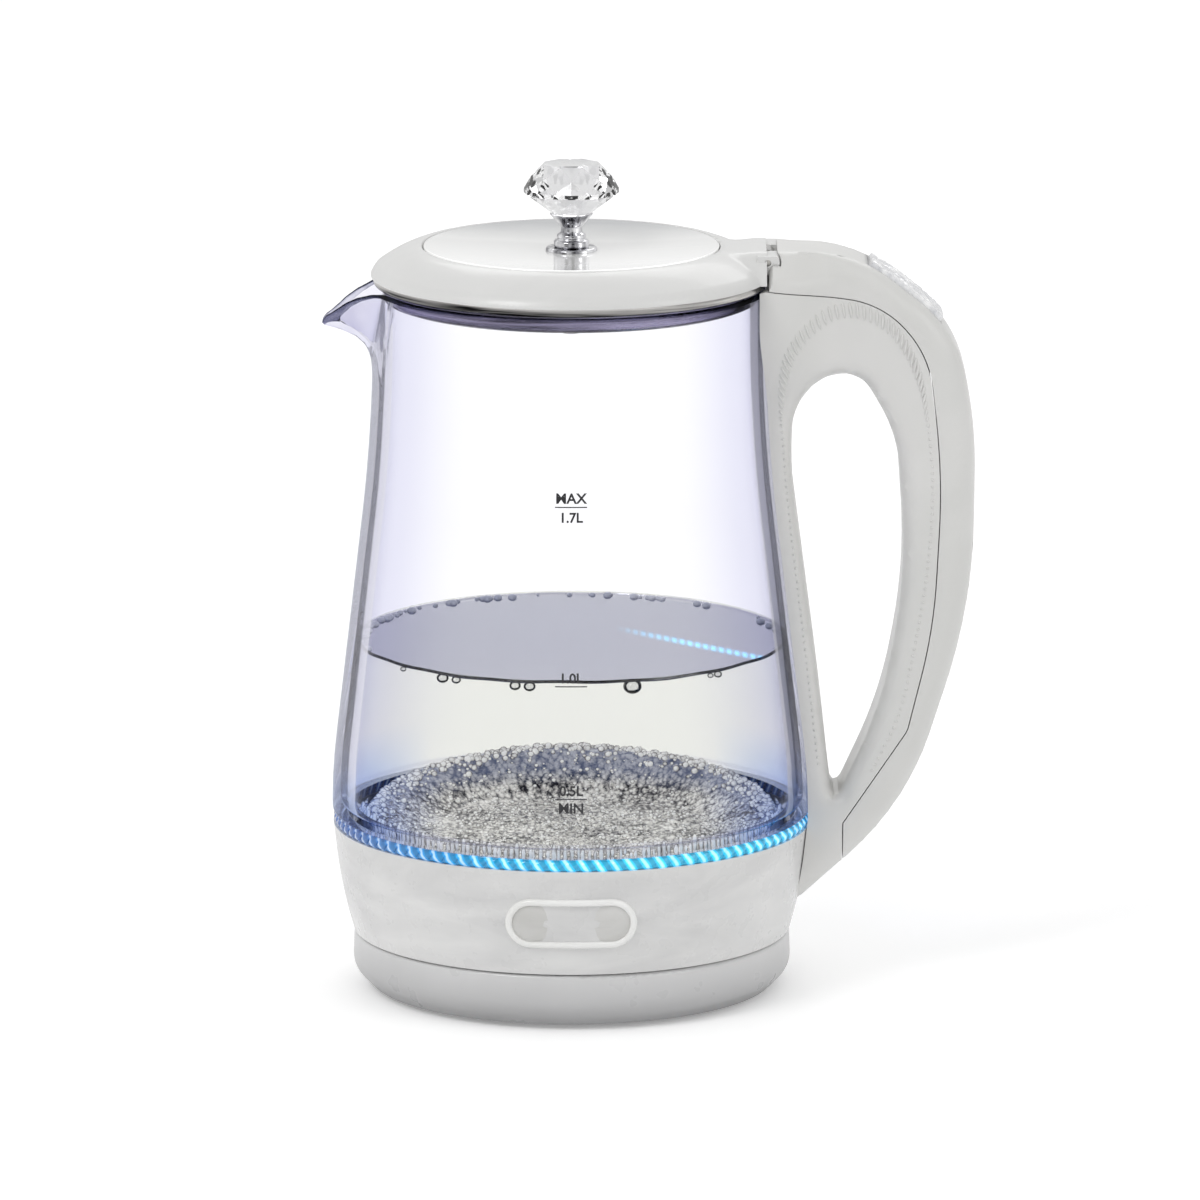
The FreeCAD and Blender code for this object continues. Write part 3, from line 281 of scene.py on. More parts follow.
def inside_region(points, loops):
    """Which points lie inside the first loop and outside the others."""
    within = inside(points, loops[0])
    for hole in loops[1:]:
        within &= ~inside(points, hole)
    return within


def scattered(loops, spacing, extra):
    """Points of an even field and some extra ones, all inside a region and off its edges."""
    low = loops[0].min(axis=0)
    high = loops[0].max(axis=0)
    across = np.arange(low[0], high[0], spacing)
    along = np.arange(low[1], high[1], spacing * 0.87)
    field = np.array([(x + (i % 2) * spacing / 2, y) for i, y in enumerate(along) for x in across])
    field = np.vstack([field, extra])
    field = field[inside_region(field, loops)]
    for loop in loops:
        field = field[distance(field, loop, closed=True) > 0.24]
    tree = kdtree.KDTree(len(extra))
    for k, point in enumerate(extra):
        tree.insert((*point, 0.0), k)
    tree.balance()
    # A point of the even field gives way to an extra point close by.
    near = [tree.find((*point, 0.0))[2] for point in field]
    return field[[gap < 1e-9 or gap > 0.5 for gap in near]]


def triangulated(loops, field):
    """A region's flat points, its triangles, and where each point of the loops went."""
    borders = []
    start = 0
    for loop in loops:
        count = len(loop)
        borders += [(start + k, start + (k + 1) % count) for k in range(count)]
        start += count
    flat = [Vector(p) for p in np.vstack([*loops, field])]
    made = geometry.delaunay_2d_cdt(flat, borders, [], 0, 1e-7)
    spots = np.array([tuple(p) for p in made[0]])
    triangles = np.array([tuple(f) for f in made[2]])
    triangles = triangles[inside_region(spots[triangles].mean(axis=1), loops)]
    where = {source: k for k, sources in enumerate(made[3]) for source in sources}
    return spots, triangles, where


def slab(name, loops, spacing, top, bottom, material, wall, extra, crease=40.0):
    """A solid over a flat region that loops bound, between a top and a bottom surface.

    top and bottom turn flat points into places. wall, unless it is None, moves the points
    between them along an edge. extra points make the mesh finer where a surface bends.
    """
    loops = [np.array(loop, float) for loop in loops]
    spots, triangles, where = triangulated(loops, scattered(loops, spacing, extra))
    upper = top(spots)
    lower = bottom(spots)
    points = [tuple(p) for p in upper] + [tuple(p) for p in lower]
    total = len(spots)
    faces = [tuple(int(v) for v in t) for t in triangles]
    faces += [tuple(int(v) + total for v in reversed(t)) for t in triangles]
    start = 0
    shares = np.linspace(0.0, 1.0, 9)[1:-1]
    for loop in loops:
        columns = []
        for k in (where[start + k] for k in range(len(loop))):
            column = [k]
            for share in shares:
                middle = upper[k] * (1 - share) + lower[k] * share
                points.append(tuple(middle if wall is None else wall(middle, upper[k])))
                column.append(len(points) - 1)
            column.append(k + total)
            columns.append(column)
        for one, two in zip(columns, columns[1:] + columns[:1]):
            for k in range(len(one) - 1):
                faces.append((one[k], two[k], two[k + 1], one[k + 1]))
        start += len(loop)
    return solid(name, points, faces, material, crease)


# ---------------------------------------------------------------- material building

class Finish:
    """The nodes of one material, or of the world, made a node at a time."""

    def __init__(self, name, world=None):
        self.material = world or bpy.data.materials.new(name)
        self.material.use_nodes = True
        self.tree = self.material.node_tree
        self.tree.nodes.clear()
        self.output = self.node("OutputWorld" if world else "OutputMaterial")

    def node(self, kind, inputs=None, **properties):
        made = self.tree.nodes.new(f"ShaderNode{kind}")
        for name, value in properties.items():
            setattr(made, name, value)
        for name, value in (inputs or {}).items():
            self.feed(made.inputs[name], value)
        return made

    def feed(self, socket, value):
        if isinstance(value, bpy.types.NodeSocket):
            self.tree.links.new(value, socket)
        elif isinstance(value, bpy.types.Node):
            self.tree.links.new(value.outputs[0], socket)
        else:
            socket.default_value = value

    def place(self):
        return self.node("TexCoord").outputs["Object"]

    def axis(self, letter):
        """One coordinate of the shaded point, in metres."""
        return self.node("SeparateXYZ", {"Vector": self.place()}).outputs[letter]

    def aside(self):
        """The shaded point's distance to either side of the axis, along X."""
        return self.sums("ABSOLUTE", self.axis("X"), 0.0)

    def weight(self, blend, output="Facing"):
        """How far the surface turns away from the eye."""
        return self.node("LayerWeight", {"Blend": blend}).outputs[output]

    def noise(self, scale, detail=3.0, roughness=0.5, stretch=None, turn=(0, 0, 0), distort=0.0):
        where = self.place()
        if stretch:
            where = self.node("Mapping", {
                "Vector": where, "Scale": stretch, "Rotation": turn}).outputs[0]
        return self.node("TexNoise", {
            "Vector": where, "Scale": scale, "Detail": detail, "Roughness": roughness,
            "Distortion": distort}).outputs["Fac"]

    def sums(self, operation, a, b):
        return self.node("Math", {0: a, 1: b}, operation=operation).outputs[0]

    def mixed(self, share, one, two, blend="MIX"):
        return self.node("MixRGB", {"Fac": share, "Color1": one, "Color2": two},
                         blend_type=blend)

    def between(self, value, stops, interpolation="LINEAR"):
        """A colour ramp: stops are (position, colour)."""
        ramp = self.node("ValToRGB", {"Fac": value})
        ramp.color_ramp.interpolation = interpolation
        while len(ramp.color_ramp.elements) < len(stops):
            ramp.color_ramp.elements.new(0.5)
        for element, (position, colour) in zip(ramp.color_ramp.elements, stops):
            element.position = position
            element.color = shade(colour)
        return ramp.outputs["Color"]

    def amount(self, value, start, end, low=0.0, high=1.0):
        """Map a value's range from start to end onto low to high."""
        return self.node("MapRange", {
            "Value": value, "From Min": start, "From Max": end, "To Min": low,
            "To Max": high}).outputs[0]

    def bump(self, height, strength, depth):
        return self.node("Bump", {
            "Height": height, "Strength": strength, "Distance": depth}).outputs[0]

    def glazed(self, tint, share, roughness, normal=None):
        """A tinted clear skin with a share of gloss over it."""
        clear = self.node("BsdfTransparent", {"Color": tint})
        shine = self.node("BsdfAnisotropic", {"Color": WHITE, "Roughness": roughness})
        if normal:
            self.feed(shine.inputs["Normal"], normal)
        return self.node("MixShader", {0: share, 1: clear, 2: shine})

    def shown(self, shader):
        self.feed(self.output.inputs["Surface"], shader)
        return self.material


def shade(colour):
    """A display colour, 0 to 1 a channel, as the linear colour that shaders use."""
    linear = [((c + 0.055) / 1.055) ** 2.4 if c > 0.04045 else c / 12.92 for c in colour[:3]]
    return (*linear, 1.0)


WHITE = shade((1.0, 1.0, 1.0))


def moulded(name, dark, light, roughness, mottle=14.0, coat=0.3, stretch=None, turn=(0, 0, 0),
            contrast=(0.38, 0.62), shadow=None):
    """Moulded plastic: two close tones in soft patches, a fine grain and a clear gloss.

    shadow is (low, high, tint): painted shade, the tone is darkened by tint below low and plain above
    high.
    """
    make = Finish(name)
    patches = make.noise(mottle, 4.0, 0.55, stretch, turn, 0.6)
    colour = make.between(patches, [(contrast[0], dark), (contrast[1], light)])
    # Painted shade: below low the tone is darkened by the tint.
    if shadow:
        share = make.amount(make.axis("Z"), shadow[1], shadow[0])
        colour = make.mixed(share, colour, shade(shadow[2]), "MULTIPLY")
    fine = make.noise(900.0, 2.0, 0.6)
    swirl = make.noise(mottle * 5.0, 3.0, 0.6)
    shader = make.node("BsdfPrincipled", {
        "Base Color": colour,
        "Roughness": make.amount(swirl, 0.3, 0.7, roughness * 0.85, roughness * 1.2),
        "Coat Weight": coat, "Coat Roughness": 0.08,
        "Normal": make.bump(fine, 0.35, 0.00002),
    })
    return make.shown(shader)


def metal(name, dark, light, roughness, scale=40.0, stretch=None, grain=0.00001):
    """Metal with faint streaks in its tone and polish; where dark and light are far apart, as on the
    chrome and the spun steel, the streaks in the tone are painted reflections.
    """
    make = Finish(name)
    # Streaks in the tone: a faint grain on most metals, painted reflections on the chrome and the spun
    # steel.
    streaks_and_reflections = make.noise(scale, 3.0, 0.6, stretch)
    return make.shown(make.node("BsdfPrincipled", {
        "Base Color": make.between(streaks_and_reflections, [(0.35, dark), (0.65, light)]),
        "Metallic": 1.0,
        "Roughness": make.amount(streaks_and_reflections, 0.3, 0.7, roughness * 0.7, roughness * 1.3),
        "Normal": make.bump(make.noise(scale * 12.0, 2.0), 0.3, grain),
    }))


def see_through(name, face, rim, gloss=0.06, roughness=0.02, ripple=None, lift=None):
    """Clear material that lets light through, tinted more where it turns away.

    ripple is the (scale, depth) of small waves; lift makes a shader that is added on top.
    """
    make = Finish(name)
    normal = None
    if ripple:
        normal = make.bump(make.noise(ripple[0], 3.0), 0.5, ripple[1])
    facing = make.node("LayerWeight", {"Blend": 0.5})
    fresnel = make.node("LayerWeight", {"Blend": gloss})
    if normal:
        make.feed(facing.inputs["Normal"], normal)
        make.feed(fresnel.inputs["Normal"], normal)
    tint = make.between(facing.outputs["Facing"], [(0.35, face), (0.9, rim)], "EASE")
    skin = make.glazed(tint, fresnel.outputs["Fresnel"], roughness, normal)
    if lift:
        skin = make.node("AddShader", {0: skin, 1: lift(make)})
    return make.shown(skin)


# ---------------------------------------------------------------- vessel shape

def vessel_radius(level, inset=0.0):
    """The glass's outer radius at a height, above its shoulder."""
    line = rounded([
        (GLASS_SHOULDER, GLASS_RADIUS), (TAPER_START, GLASS_RADIUS, 170.0),
        (TAPER_END, NECK_RADIUS, 500.0), (GLASS_TOP + 5.0, NECK_RADIUS),
    ], closed=False, steps=12)
    return read_off(line, level) - inset


def shell_radius(level):
    """The lower shell's outer radius at a height."""
    line = rounded([
        (SHELL_LOW, SHELL_BOTTOM_RADIUS), (SHELL_WIDE_LEVEL, SHELL_WIDE, 150.0),
        (GUIDE_LOW, GUIDE_RADIUS),
    ], closed=False, steps=12)
    return read_off(line, level)


SPOUT_ROOT = NECK_RADIUS - 3.0
# The spout's underside, upper edge and half width, each as (reach from the axis, value).
SPOUT_KEEL = [(SPOUT_ROOT, 188.0), (61.7, 197.9), (63.0, 201.7), (65.2, 204.8), (67.7, 206.3),
              (70.8, 207.7), (75.0, 208.9), (SPOUT_TIP, 209.7)]
SPOUT_EDGE = [(60.0, 222.3), (63.0, 221.4), (67.7, 219.5), (71.4, 217.4), (74.5, 214.3),
              (76.4, 211.9), (SPOUT_TIP, 210.4)]
SPOUT_HALF = [(58.7, 18.5), (64.0, 12.5), (68.0, 9.0), (72.0, 5.5), (75.0, 2.9), (77.4, 1.2),
              (SPOUT_TIP, 0.4)]
# The rim's height round the spout, as (degrees from -X, height).
LIP_DIP = [(0, 210.4), (0.6, 211.4), (1.4, 213.2), (2.4, 214.6), (4.8, 217.4), (7.7, 219.5),
           (12.0, 221.2), (17.0, 222.0), (24.0, GLASS_TOP)]
SPOUT_SIDE = math.radians(26.0)
LIP_ROUND = 1.1


def spout_radius(turn, level, inset=0.0):
    """The spout's reach at a turn from -X (radians) and a height, or 0 where it has none."""
    reach = np.linspace(SPOUT_ROOT, SPOUT_TIP - inset * 0.8, 160)
    keel = read_off(SPOUT_KEEL, reach) + inset
    lip = read_off(SPOUT_EDGE, reach)
    half = np.maximum(read_off(SPOUT_HALF, reach) - inset, 0.25)
    x = reach * np.cos(turn)
    y = abs(reach * np.sin(turn))
    keel_here = np.interp(x, reach, keel)
    lip_here = np.interp(x, reach, lip)
    share = np.clip((level - keel_here) / np.maximum(lip_here - keel_here, 0.5), 0.0, 1.3)
    width = np.interp(x, reach, half) * np.minimum(share, 1.0) ** 0.62
    fits = (y <= width) & (share > 0)
    return reach[fits].max() if fits.any() else 0.0


def lip_level(turn):
    """The height of the glass's rim at a turn from -X, in radians."""
    return float(read_off(LIP_DIP, abs(math.degrees(turn))))


def soft_max(a, b, blend):
    """The larger of two values, with a rounded change from one to the other."""
    share = np.clip(0.5 + 0.5 * (a - b) / blend, 0.0, 1.0)
    return b * (1 - share) + a * share + blend * share * (1 - share)


def vessel_column(turn, levels, inset, spout_inset):
    """Radii of the glass at one turn from -X, for a list of heights."""
    plain = vessel_radius(levels, inset)
    if abs(turn) > SPOUT_SIDE:
        return plain
    out = np.array([spout_radius(turn, level, spout_inset) for level in levels])
    return np.where(levels > 190.0, soft_max(out, plain, 1.6), plain)


def glass_body(material, lip_material):
    """The tapered glass vessel: outer face, rounded rim, inner face and foot."""
    near = np.radians(np.concatenate([np.arange(0, 3, 0.5), np.arange(3, 10, 0.7),
                                      np.arange(10, 27, 1.5), np.arange(28, 180.1, 2.0)]))
    turns = np.concatenate([near, -near[-2:0:-1]])
    foot = [(FOOT_RADIUS - WALL, GLASS_FOOT), (FOOT_RADIUS, GLASS_FOOT, 0.8),
            (FOOT_RADIUS, GLASS_SHOULDER, 1.0), (GLASS_RADIUS, GLASS_SHOULDER, 1.5),
            (GLASS_RADIUS, GLASS_SHOULDER + 4.0)]
    outside = rounded(foot, closed=False, steps=4)[1:]
    within = rounded([
        (GLASS_RADIUS - WALL, GLASS_SHOULDER + WALL + 4.0),
        (GLASS_RADIUS - WALL, GLASS_SHOULDER + WALL, 1.5),
        (FOOT_RADIUS - WALL, GLASS_SHOULDER + WALL, 1.0), (FOOT_RADIUS - WALL, GLASS_FOOT)],
        closed=False, steps=4)
    columns = []
    for turn in turns:
        lip = lip_level(turn)
        share = np.linspace(0.0, 1.0, 30)
        levels = outside[-1][1] + (lip - LIP_ROUND - outside[-1][1]) * (1 - (1 - share) ** 1.35)
        outer = vessel_column(turn, levels, 0.0, 0.0)
        inner = np.minimum(vessel_column(turn, levels, WALL, 2.0), outer - 1.8)
        column = list(outside)
        column += list(zip(outer, levels))[1:]
        middle = (outer[-1] + inner[-1]) / 2
        half = (outer[-1] - inner[-1]) / 2
        for step in range(1, 8):
            angle = math.pi * step / 8
            column.append((middle + half * math.cos(angle),
                           lip - LIP_ROUND + LIP_ROUND * math.sin(angle)))
        column += list(zip(inner, levels))[:1:-1]
        column += within
        columns.append([(-r * math.cos(turn), r * math.sin(turn), z) for r, z in column])
    rows = [list(row) for row in zip(*columns)]
    points, faces = [], []
    add_grid(points, faces, rows, wrap_rows=True)
    made = solid("glass_vessel", points, faces, material, 50.0)
    made.data.materials.append(lip_material)
    for face in made.data.polygons:
        x, y, z = face.center / MM
        if z > lip_level(math.atan2(y, -x)) - LIP_ROUND - 0.25:
            face.material_index = 1
    return made


# ---------------------------------------------------------------- handle

HANDLE_BACK = [
    (HANDLE_FACE, LID_TOP), (88.5, LID_TOP - 1.1), (119.0, 209.5), (HANDLE_REACH, 179.5),
    (HANDLE_REACH - 0.5, 122.0), (104.5, 58.5), (68.0, 25.5),
]
HANDLE_HOLE = [
    (68.0, 166.5), (68.5, 185.0), (77.0, 195.5), (89.5, 196.5), (101.0, 177.0),
    (104.0, 132.5), (96.5, 91.0), (81.5, 58.5), (80.0, 70.0), (77.0, 98.0),
]
HANDLE_SEAM = [
    (60.0, 223.6), (96.0, 218.5), (110.5, 202.5), (115.0, 164.5), (112.5, 116.0),
    (104.5, 83.5), (84.5, 54.0), (84.5, 36.0),
]
RIB_LINE = [
    (76.8, 73.0), (72.3, 113.0), (67.4, 152.0), (64.3, 189.7), (68.0, 207.0), (83.0, 218.4),
    (98.5, 213.0), (108.0, 197.0), (112.6, 165.0), (110.6, 132.0), (102.6, 89.0), (93.5, 71.0),
]
SHELF = LID_RIM - 0.4
FOOT_CORNER = (72.0, 28.8)


def handle_width(x, z):
    """The handle's half width: plain on the grip, flared where it meets the lid."""
    flare = ease(z, 184.0, 213.0) * ease(-x, -84.0, -61.0)
    return HANDLE_HALF + (TONGUE_HALF - HANDLE_HALF) * flare


def vessel_face(z, y):
    """How far the kettle's body reaches towards +X, at a height and a sideways place."""
    radius = np.where(z > GUIDE_LOW + 1.5, vessel_radius(z), shell_radius(z)) + 0.3
    return np.sqrt(np.maximum(radius * radius - y * y, 1.0))


def body_edge(low, high):
    """The line on the handle's side where it meets the kettle's body."""
    levels = np.linspace(low, high, int((high - low) / 1.5))
    width = handle_width(62.0, levels)
    return list(zip(vessel_face(levels, width), levels))


def edge_drop(depth, reach, gap):
    """How much a side falls away near an edge that is rounded as part of an ellipse."""
    near = np.clip(1 - gap / reach, 0.0, 1.0)
    return depth * (1 - np.sqrt(1 - near * near))


CREST = rounded([(0.0, 0.0), (13.8, 0.0, 4.6), (TONGUE_HALF, -8.3, 2.6), (TONGUE_HALF, -16.0)],
                closed=False, steps=8)


def crest_drop(gap):
    """How much the side falls away near the top at the hinge: a soft crest and a slope."""
    return TONGUE_HALF - read_off([(-drop, across) for across, drop in CREST[1:]], gap)


def outline_of(corners, step, closed=False):
    """Evenly spaced points along the smooth outline that corners describe."""
    return spaced(rounded(smooth(corners, closed), closed), step, closed)


def handle_height(spots):
    """The handle's half width at points of its side view, with rounded edges."""
    x, z = spots[:, 0], spots[:, 1]
    hole = outline_of(HANDLE_HOLE, 2.0, closed=True)
    gap = distance(spots, outline_of(HANDLE_BACK, 2.0))
    grip = ease(-z, -206.0, -186.0)
    outer = edge_drop(9.6, 10.0, gap) * grip + edge_drop(5.6, 7.5, gap) * (1 - grip)
    front = ease(-x, -86.0, -70.0) * ease(z, 190.0, 205.0)
    width = handle_width(x, z)
    slope = np.minimum(crest_drop(gap), width - 10.5)
    drop = slope * front + outer * (1 - front)
    drop = drop + edge_drop(4.2, 4.2, distance(spots, hole, closed=True))
    return np.maximum(width - drop, 1.2)


def split_back():
    """The handle's back outline, cut at the foot of the seam: (upper part, foot part)."""
    back = outline_of(HANDLE_BACK, 1.5)
    cover = [p for p in back if p[0] > HANDLE_SEAM[-1][0] or p[1] > 100.0]
    foot = [p for p in back if p[1] < 100.0 and FOOT_CORNER[0] + 0.4 < p[0] < HANDLE_SEAM[-1][0]]
    return cover, foot


def relief(line, gaps):
    """Points beside a line, at each gap to both sides, so that a crease there is sharp."""
    line = np.array(line)
    run = np.gradient(line, axis=0)
    across = np.column_stack([-run[:, 1], run[:, 0]]) / np.hypot(*run.T)[:, None]
    return np.vstack([line + across * gap for gap in gaps])


def handle(material):
    """The ribbed frame and the back cover, as two solids that meet at the seam."""
    seam = spaced(rounded(smooth(HANDLE_SEAM[:-2]) + [HANDLE_SEAM[-2], HANDLE_SEAM[-1]],
                          closed=False), 1.5)
    hole = outline_of(HANDLE_HOLE, 1.5, closed=True)
    cover_back, foot = split_back()
    split = 0.16
    seam_low = [tuple(p) for p in seam if p[1] > foot[0][1] + 0.6]
    side = body_edge(FOOT_CORNER[1], SHELF - 1.9)

    run = np.gradient(np.array(seam_low), axis=0)
    across = np.column_stack([run[:, 1], -run[:, 0]]) / np.hypot(*run.T)[:, None]
    inner = np.array(seam_low) + across * split
    outer = np.array(seam_low) - across * split

    def wrap(place, rim):
        """Hug the kettle's body between the two sides, and stay straight elsewhere."""
        _, y, z = place
        if abs(rim[0] - vessel_face(rim[2], rim[1])) < 0.2 and z < SHELF:
            return (float(vessel_face(z, y)), y, z)
        return place

    def left(spots):
        return np.column_stack([spots[:, 0], -lipped(spots), spots[:, 1]])

    def right(spots):
        return np.column_stack([spots[:, 0], lipped(spots), spots[:, 1]])

    def lipped(spots):
        """Half width with a small rounded lip along the seam."""
        return handle_height(spots) - edge_drop(0.5, 0.5, distance(spots, seam_low))

    frame_edge = [tuple(p) for p in inner if p[0] > side[-1][0] + 0.5]
    rim_points = relief(hole, (-0.5, -1.2, -2.2, -3.4, -4.4))
    front = slab("handle_ribbed_frame",
                 [side + frame_edge + foot, hole], 2.2, left, right, material, wrap,
                 np.vstack([rim_points, relief(seam_low, (0.3, 0.6))]))
    line = [tuple(p) for p in outer if p[0] > HANDLE_FACE] + [tuple(p) for p in cover_back[::-1]]
    shelf = [(HANDLE_FACE, outer[0][1])]
    back_line = outline_of(HANDLE_BACK, 1.5)
    back = slab("handle_back_cover", [shelf + line], 2.2, left, right, material, None,
                np.vstack([relief(back_line, (-0.5, 0.5, 1.2, -1.2, 2.4, -2.4, 4.2, -4.2, 6.4, -6.4)),
                           relief(seam_low, (-0.3, -0.6))]))
    return front, back


# ---------------------------------------------------------------- stage, camera and lights

CAMERA_DISTANCE = 3.538
CAMERA_LIFT = math.radians(11.9)
CAMERA_AIM = Vector((0.00885, 0.0, 0.1221))
CAMERA_LENS = 340.5


def camera():
    """A long lens a little above the kettle, facing its front."""
    data = bpy.data.cameras.new("camera")
    data.lens = CAMERA_LENS
    data.sensor_width = 36.0
    data.clip_end = 100.0
    made = bpy.data.objects.new("camera", data)
    back = Vector((0.0, -math.cos(CAMERA_LIFT), math.sin(CAMERA_LIFT)))
    made.location = CAMERA_AIM + back * CAMERA_DISTANCE
    made.rotation_euler = (-back).to_track_quat("-Z", "Y").to_euler()
    bpy.context.scene.collection.objects.link(made)
    bpy.context.scene.camera = made


def softbox(name, place, aim, width, height, power):
    """A rectangular light at a place, aimed at another."""
    data = bpy.data.lights.new(name, "AREA")
    data.shape = "RECTANGLE"
    data.size = width
    data.size_y = height
    data.energy = power
    made = bpy.data.objects.new(name, data)
    made.location = place
    made.rotation_euler = (Vector(aim) - Vector(place)).to_track_quat("-Z", "Y").to_euler()
    bpy.context.scene.collection.objects.link(made)


def studio():
    """A pale floor, a white surround with dark flags behind the camera, and soft boxes."""
    scene = bpy.context.scene
    scene.view_settings.view_transform = "Standard"
    make = Finish("floor_paper")
    tone = make.noise(3.0, 3.0)
    paper = make.node("BsdfDiffuse", {"Color": make.between(tone, [(0.3, (0.95,) * 3),
                                                                  (0.7, (0.965,) * 3)])})
    seen = make.node("LightPath").outputs["Is Camera Ray"]
    glow = make.node("Emission", {"Color": WHITE,
                                  "Strength": make.amount(seen, 0.0, 1.0, 0.05, 0.24)})
    make.shown(make.node("AddShader", {0: paper, 1: glow}))
    size = 30.0 / MM
    floor = solid("floor", [(-size, -size, 0), (size, -size, 0), (size, size, 0),
                            (-size, size, 0)], [(0, 1, 2, 3)], make.material)

    world = bpy.data.worlds.new("studio")
    scene.world = world
    make = Finish("studio", world)
    way = make.node("SeparateXYZ", {"Vector": make.node("TexCoord").outputs["Generated"]})
    front = make.amount(way.outputs["Y"], -0.35, -0.8)
    wave = make.sums("SINE", make.sums("MULTIPLY", way.outputs["X"], 9.0), 0.0)
    flag = make.amount(wave, 0.1, 0.45)
    low = make.amount(way.outputs["Z"], 0.75, 0.45)
    dark = make.sums("MULTIPLY", make.sums("MULTIPLY", front, flag), low)
    lit = make.node("Background", {"Color": WHITE, "Strength": make.amount(dark, 0.0, 1.0, 0.76, 0.06)})
    plain = make.node("Background", {"Color": WHITE, "Strength": 1.0})
    seen = make.node("LightPath").outputs["Is Camera Ray"]
    make.shown(make.node("MixShader", {0: seen, 1: lit, 2: plain}))

    aim = (0.0, 0.0, 0.12)
    softbox("key_light", (-1.3, -1.5, 1.9), aim, 1.0, 1.0, 17.0)
    softbox("fill_light", (1.6, -0.9, 0.9), aim, 0.8, 1.0, 3.6)
    softbox("back_light", (0.3, 1.6, 1.5), aim, 1.6, 0.8, 6.0)


# ---------------------------------------------------------------- materials

def materials():
    """The finish of every slot, and of the pieces that have a finish of their own."""
    return {
        # Painted shade: the base's moulding is darker towards the bottom.
        "base_plastic": moulded("white_moulding", (0.835, 0.835, 0.835), (0.86, 0.86, 0.86), 0.3,
                                shadow=(0.003, 0.02, (0.8, 0.8, 0.805))),
        "under_plastic": moulded("grey_moulding", (0.68, 0.68, 0.69), (0.73, 0.73, 0.74), 0.55,
                                 coat=0.0),
        "foot_rubber": moulded("foot_rubber", (0.5, 0.5, 0.51), (0.56, 0.56, 0.57), 0.8, coat=0.0),
        "screw_steel": metal("screw_steel", (0.62, 0.62, 0.63), (0.8, 0.8, 0.8), 0.25, 300.0),
        "terminal_plastic": moulded("terminal_plastic", (0.82, 0.8, 0.74), (0.86, 0.84, 0.79), 0.5),
        "connector_plastic": moulded("connector_plastic", (0.1, 0.1, 0.11), (0.15, 0.15, 0.16),
                                     0.45, coat=0.0),
        "contact_brass": metal("contact_brass", (0.75, 0.57, 0.28), (0.88, 0.7, 0.4), 0.25, 200.0),
        "plate_steel": metal("plate_steel", (0.6, 0.6, 0.6), (0.82, 0.81, 0.79), 0.28, 60.0),
        # Painted reflections: near-black to bright streaks in the liner steel's tone.
        "spun_steel_painted_reflections": metal("spun_steel_painted_reflections", (0.05, 0.05, 0.055), (0.9, 0.89, 0.88), 0.22, 26.0,
                            stretch=(0.5, 0.5, 16.0)),
        "diffuser_aluminium": metal("diffuser_aluminium", (0.7, 0.7, 0.71), (0.84, 0.84, 0.85),
                                    0.35, 80.0),
        "board_laminate": moulded("board_laminate", (0.83, 0.86, 0.83), (0.88, 0.9, 0.88), 0.4),
        "wire_insulation": moulded("wire_insulation", (0.74, 0.74, 0.7), (0.8, 0.8, 0.77), 0.5),
        "lid_plastic": moulded("lid_moulding", (0.845, 0.845, 0.84), (0.865, 0.865, 0.86), 0.34,
                               coat=0.25),
        "disc_plastic": glossy_disc(),
        "handle_plastic": moulded("handle_satin", (0.835, 0.835, 0.825), (0.86, 0.858, 0.85), 0.38,
                                  coat=0.2),
        "pearl_plastic": moulded("pearl_moulding", (0.80, 0.80, 0.80), (0.91, 0.91, 0.905), 0.28,
                                 mottle=22.0, coat=0.6, stretch=(1.0, 1.0, 3.4),
                                 turn=(0.5, 0.6, 0.2), contrast=(0.25, 0.75)),
        "badge_rim": moulded("badge_rim", (0.93, 0.93, 0.92), (0.96, 0.96, 0.955), 0.2, coat=0.8),
        "badge_plate": moulded("badge_pearl", (0.79, 0.788, 0.775), (0.84, 0.838, 0.83), 0.35,
                               mottle=30.0, coat=0.4),
        # Painted reflections: dark and bright streaks in the chrome's tone.
        "knob_chrome": metal("knob_chrome", (0.5, 0.5, 0.52), (0.97, 0.97, 0.98), 0.07, 70.0,
                             stretch=(4.0, 4.0, 1.0), grain=0.000002),
        "body_glass": vessel_glass("body_glass", [
            (0.1, (0.99, 0.99, 0.993)), (0.5, (0.966, 0.966, 0.982)),
            (0.72, (0.935, 0.935, 0.962)), (0.95, (0.88, 0.885, 0.925))]),
        "glass_lip": vessel_glass("glass_lip", [
            (0.1, (0.9, 0.9, 0.93)), (0.35, (0.55, 0.56, 0.62)),
            (0.6, (0.2, 0.21, 0.26)), (0.9, (0.08, 0.08, 0.12))]),
        "seal_silicone": see_through("seal_silicone", (0.93, 0.925, 0.965), (0.82, 0.81, 0.89),
                                     roughness=0.2),
        "rocker_plastic": faceted_clear(),
        "water": see_through("water", (0.955, 0.957, 0.942), (0.93, 0.935, 0.955), gloss=0.02),
        # Painted reflection: the water's face is tinted violet-grey, deeper where it turns away.
        "water_surface": see_through("water_surface", (0.83, 0.832, 0.865), (0.735, 0.74, 0.80),
                                     gloss=0.06, ripple=(60.0, 0.0006), lift=glint),
        "meniscus": meniscus_skin(),
        "beads": bead_skin(),
        "bubbles": bubble_skin(),
        "froth": moulded("froth", (0.62, 0.65, 0.74), (0.9, 0.91, 0.95), 0.35, coat=0.3),
        "foam": foam_skin(),
        "light_guide": lit_guide(),
        "chip_plastic": lit_guide(),
        "crystal": cut_glass(),
        "print": moulded("level_print", (0.17, 0.17, 0.18), (0.24, 0.24, 0.25), 0.8, coat=0.0),
    }


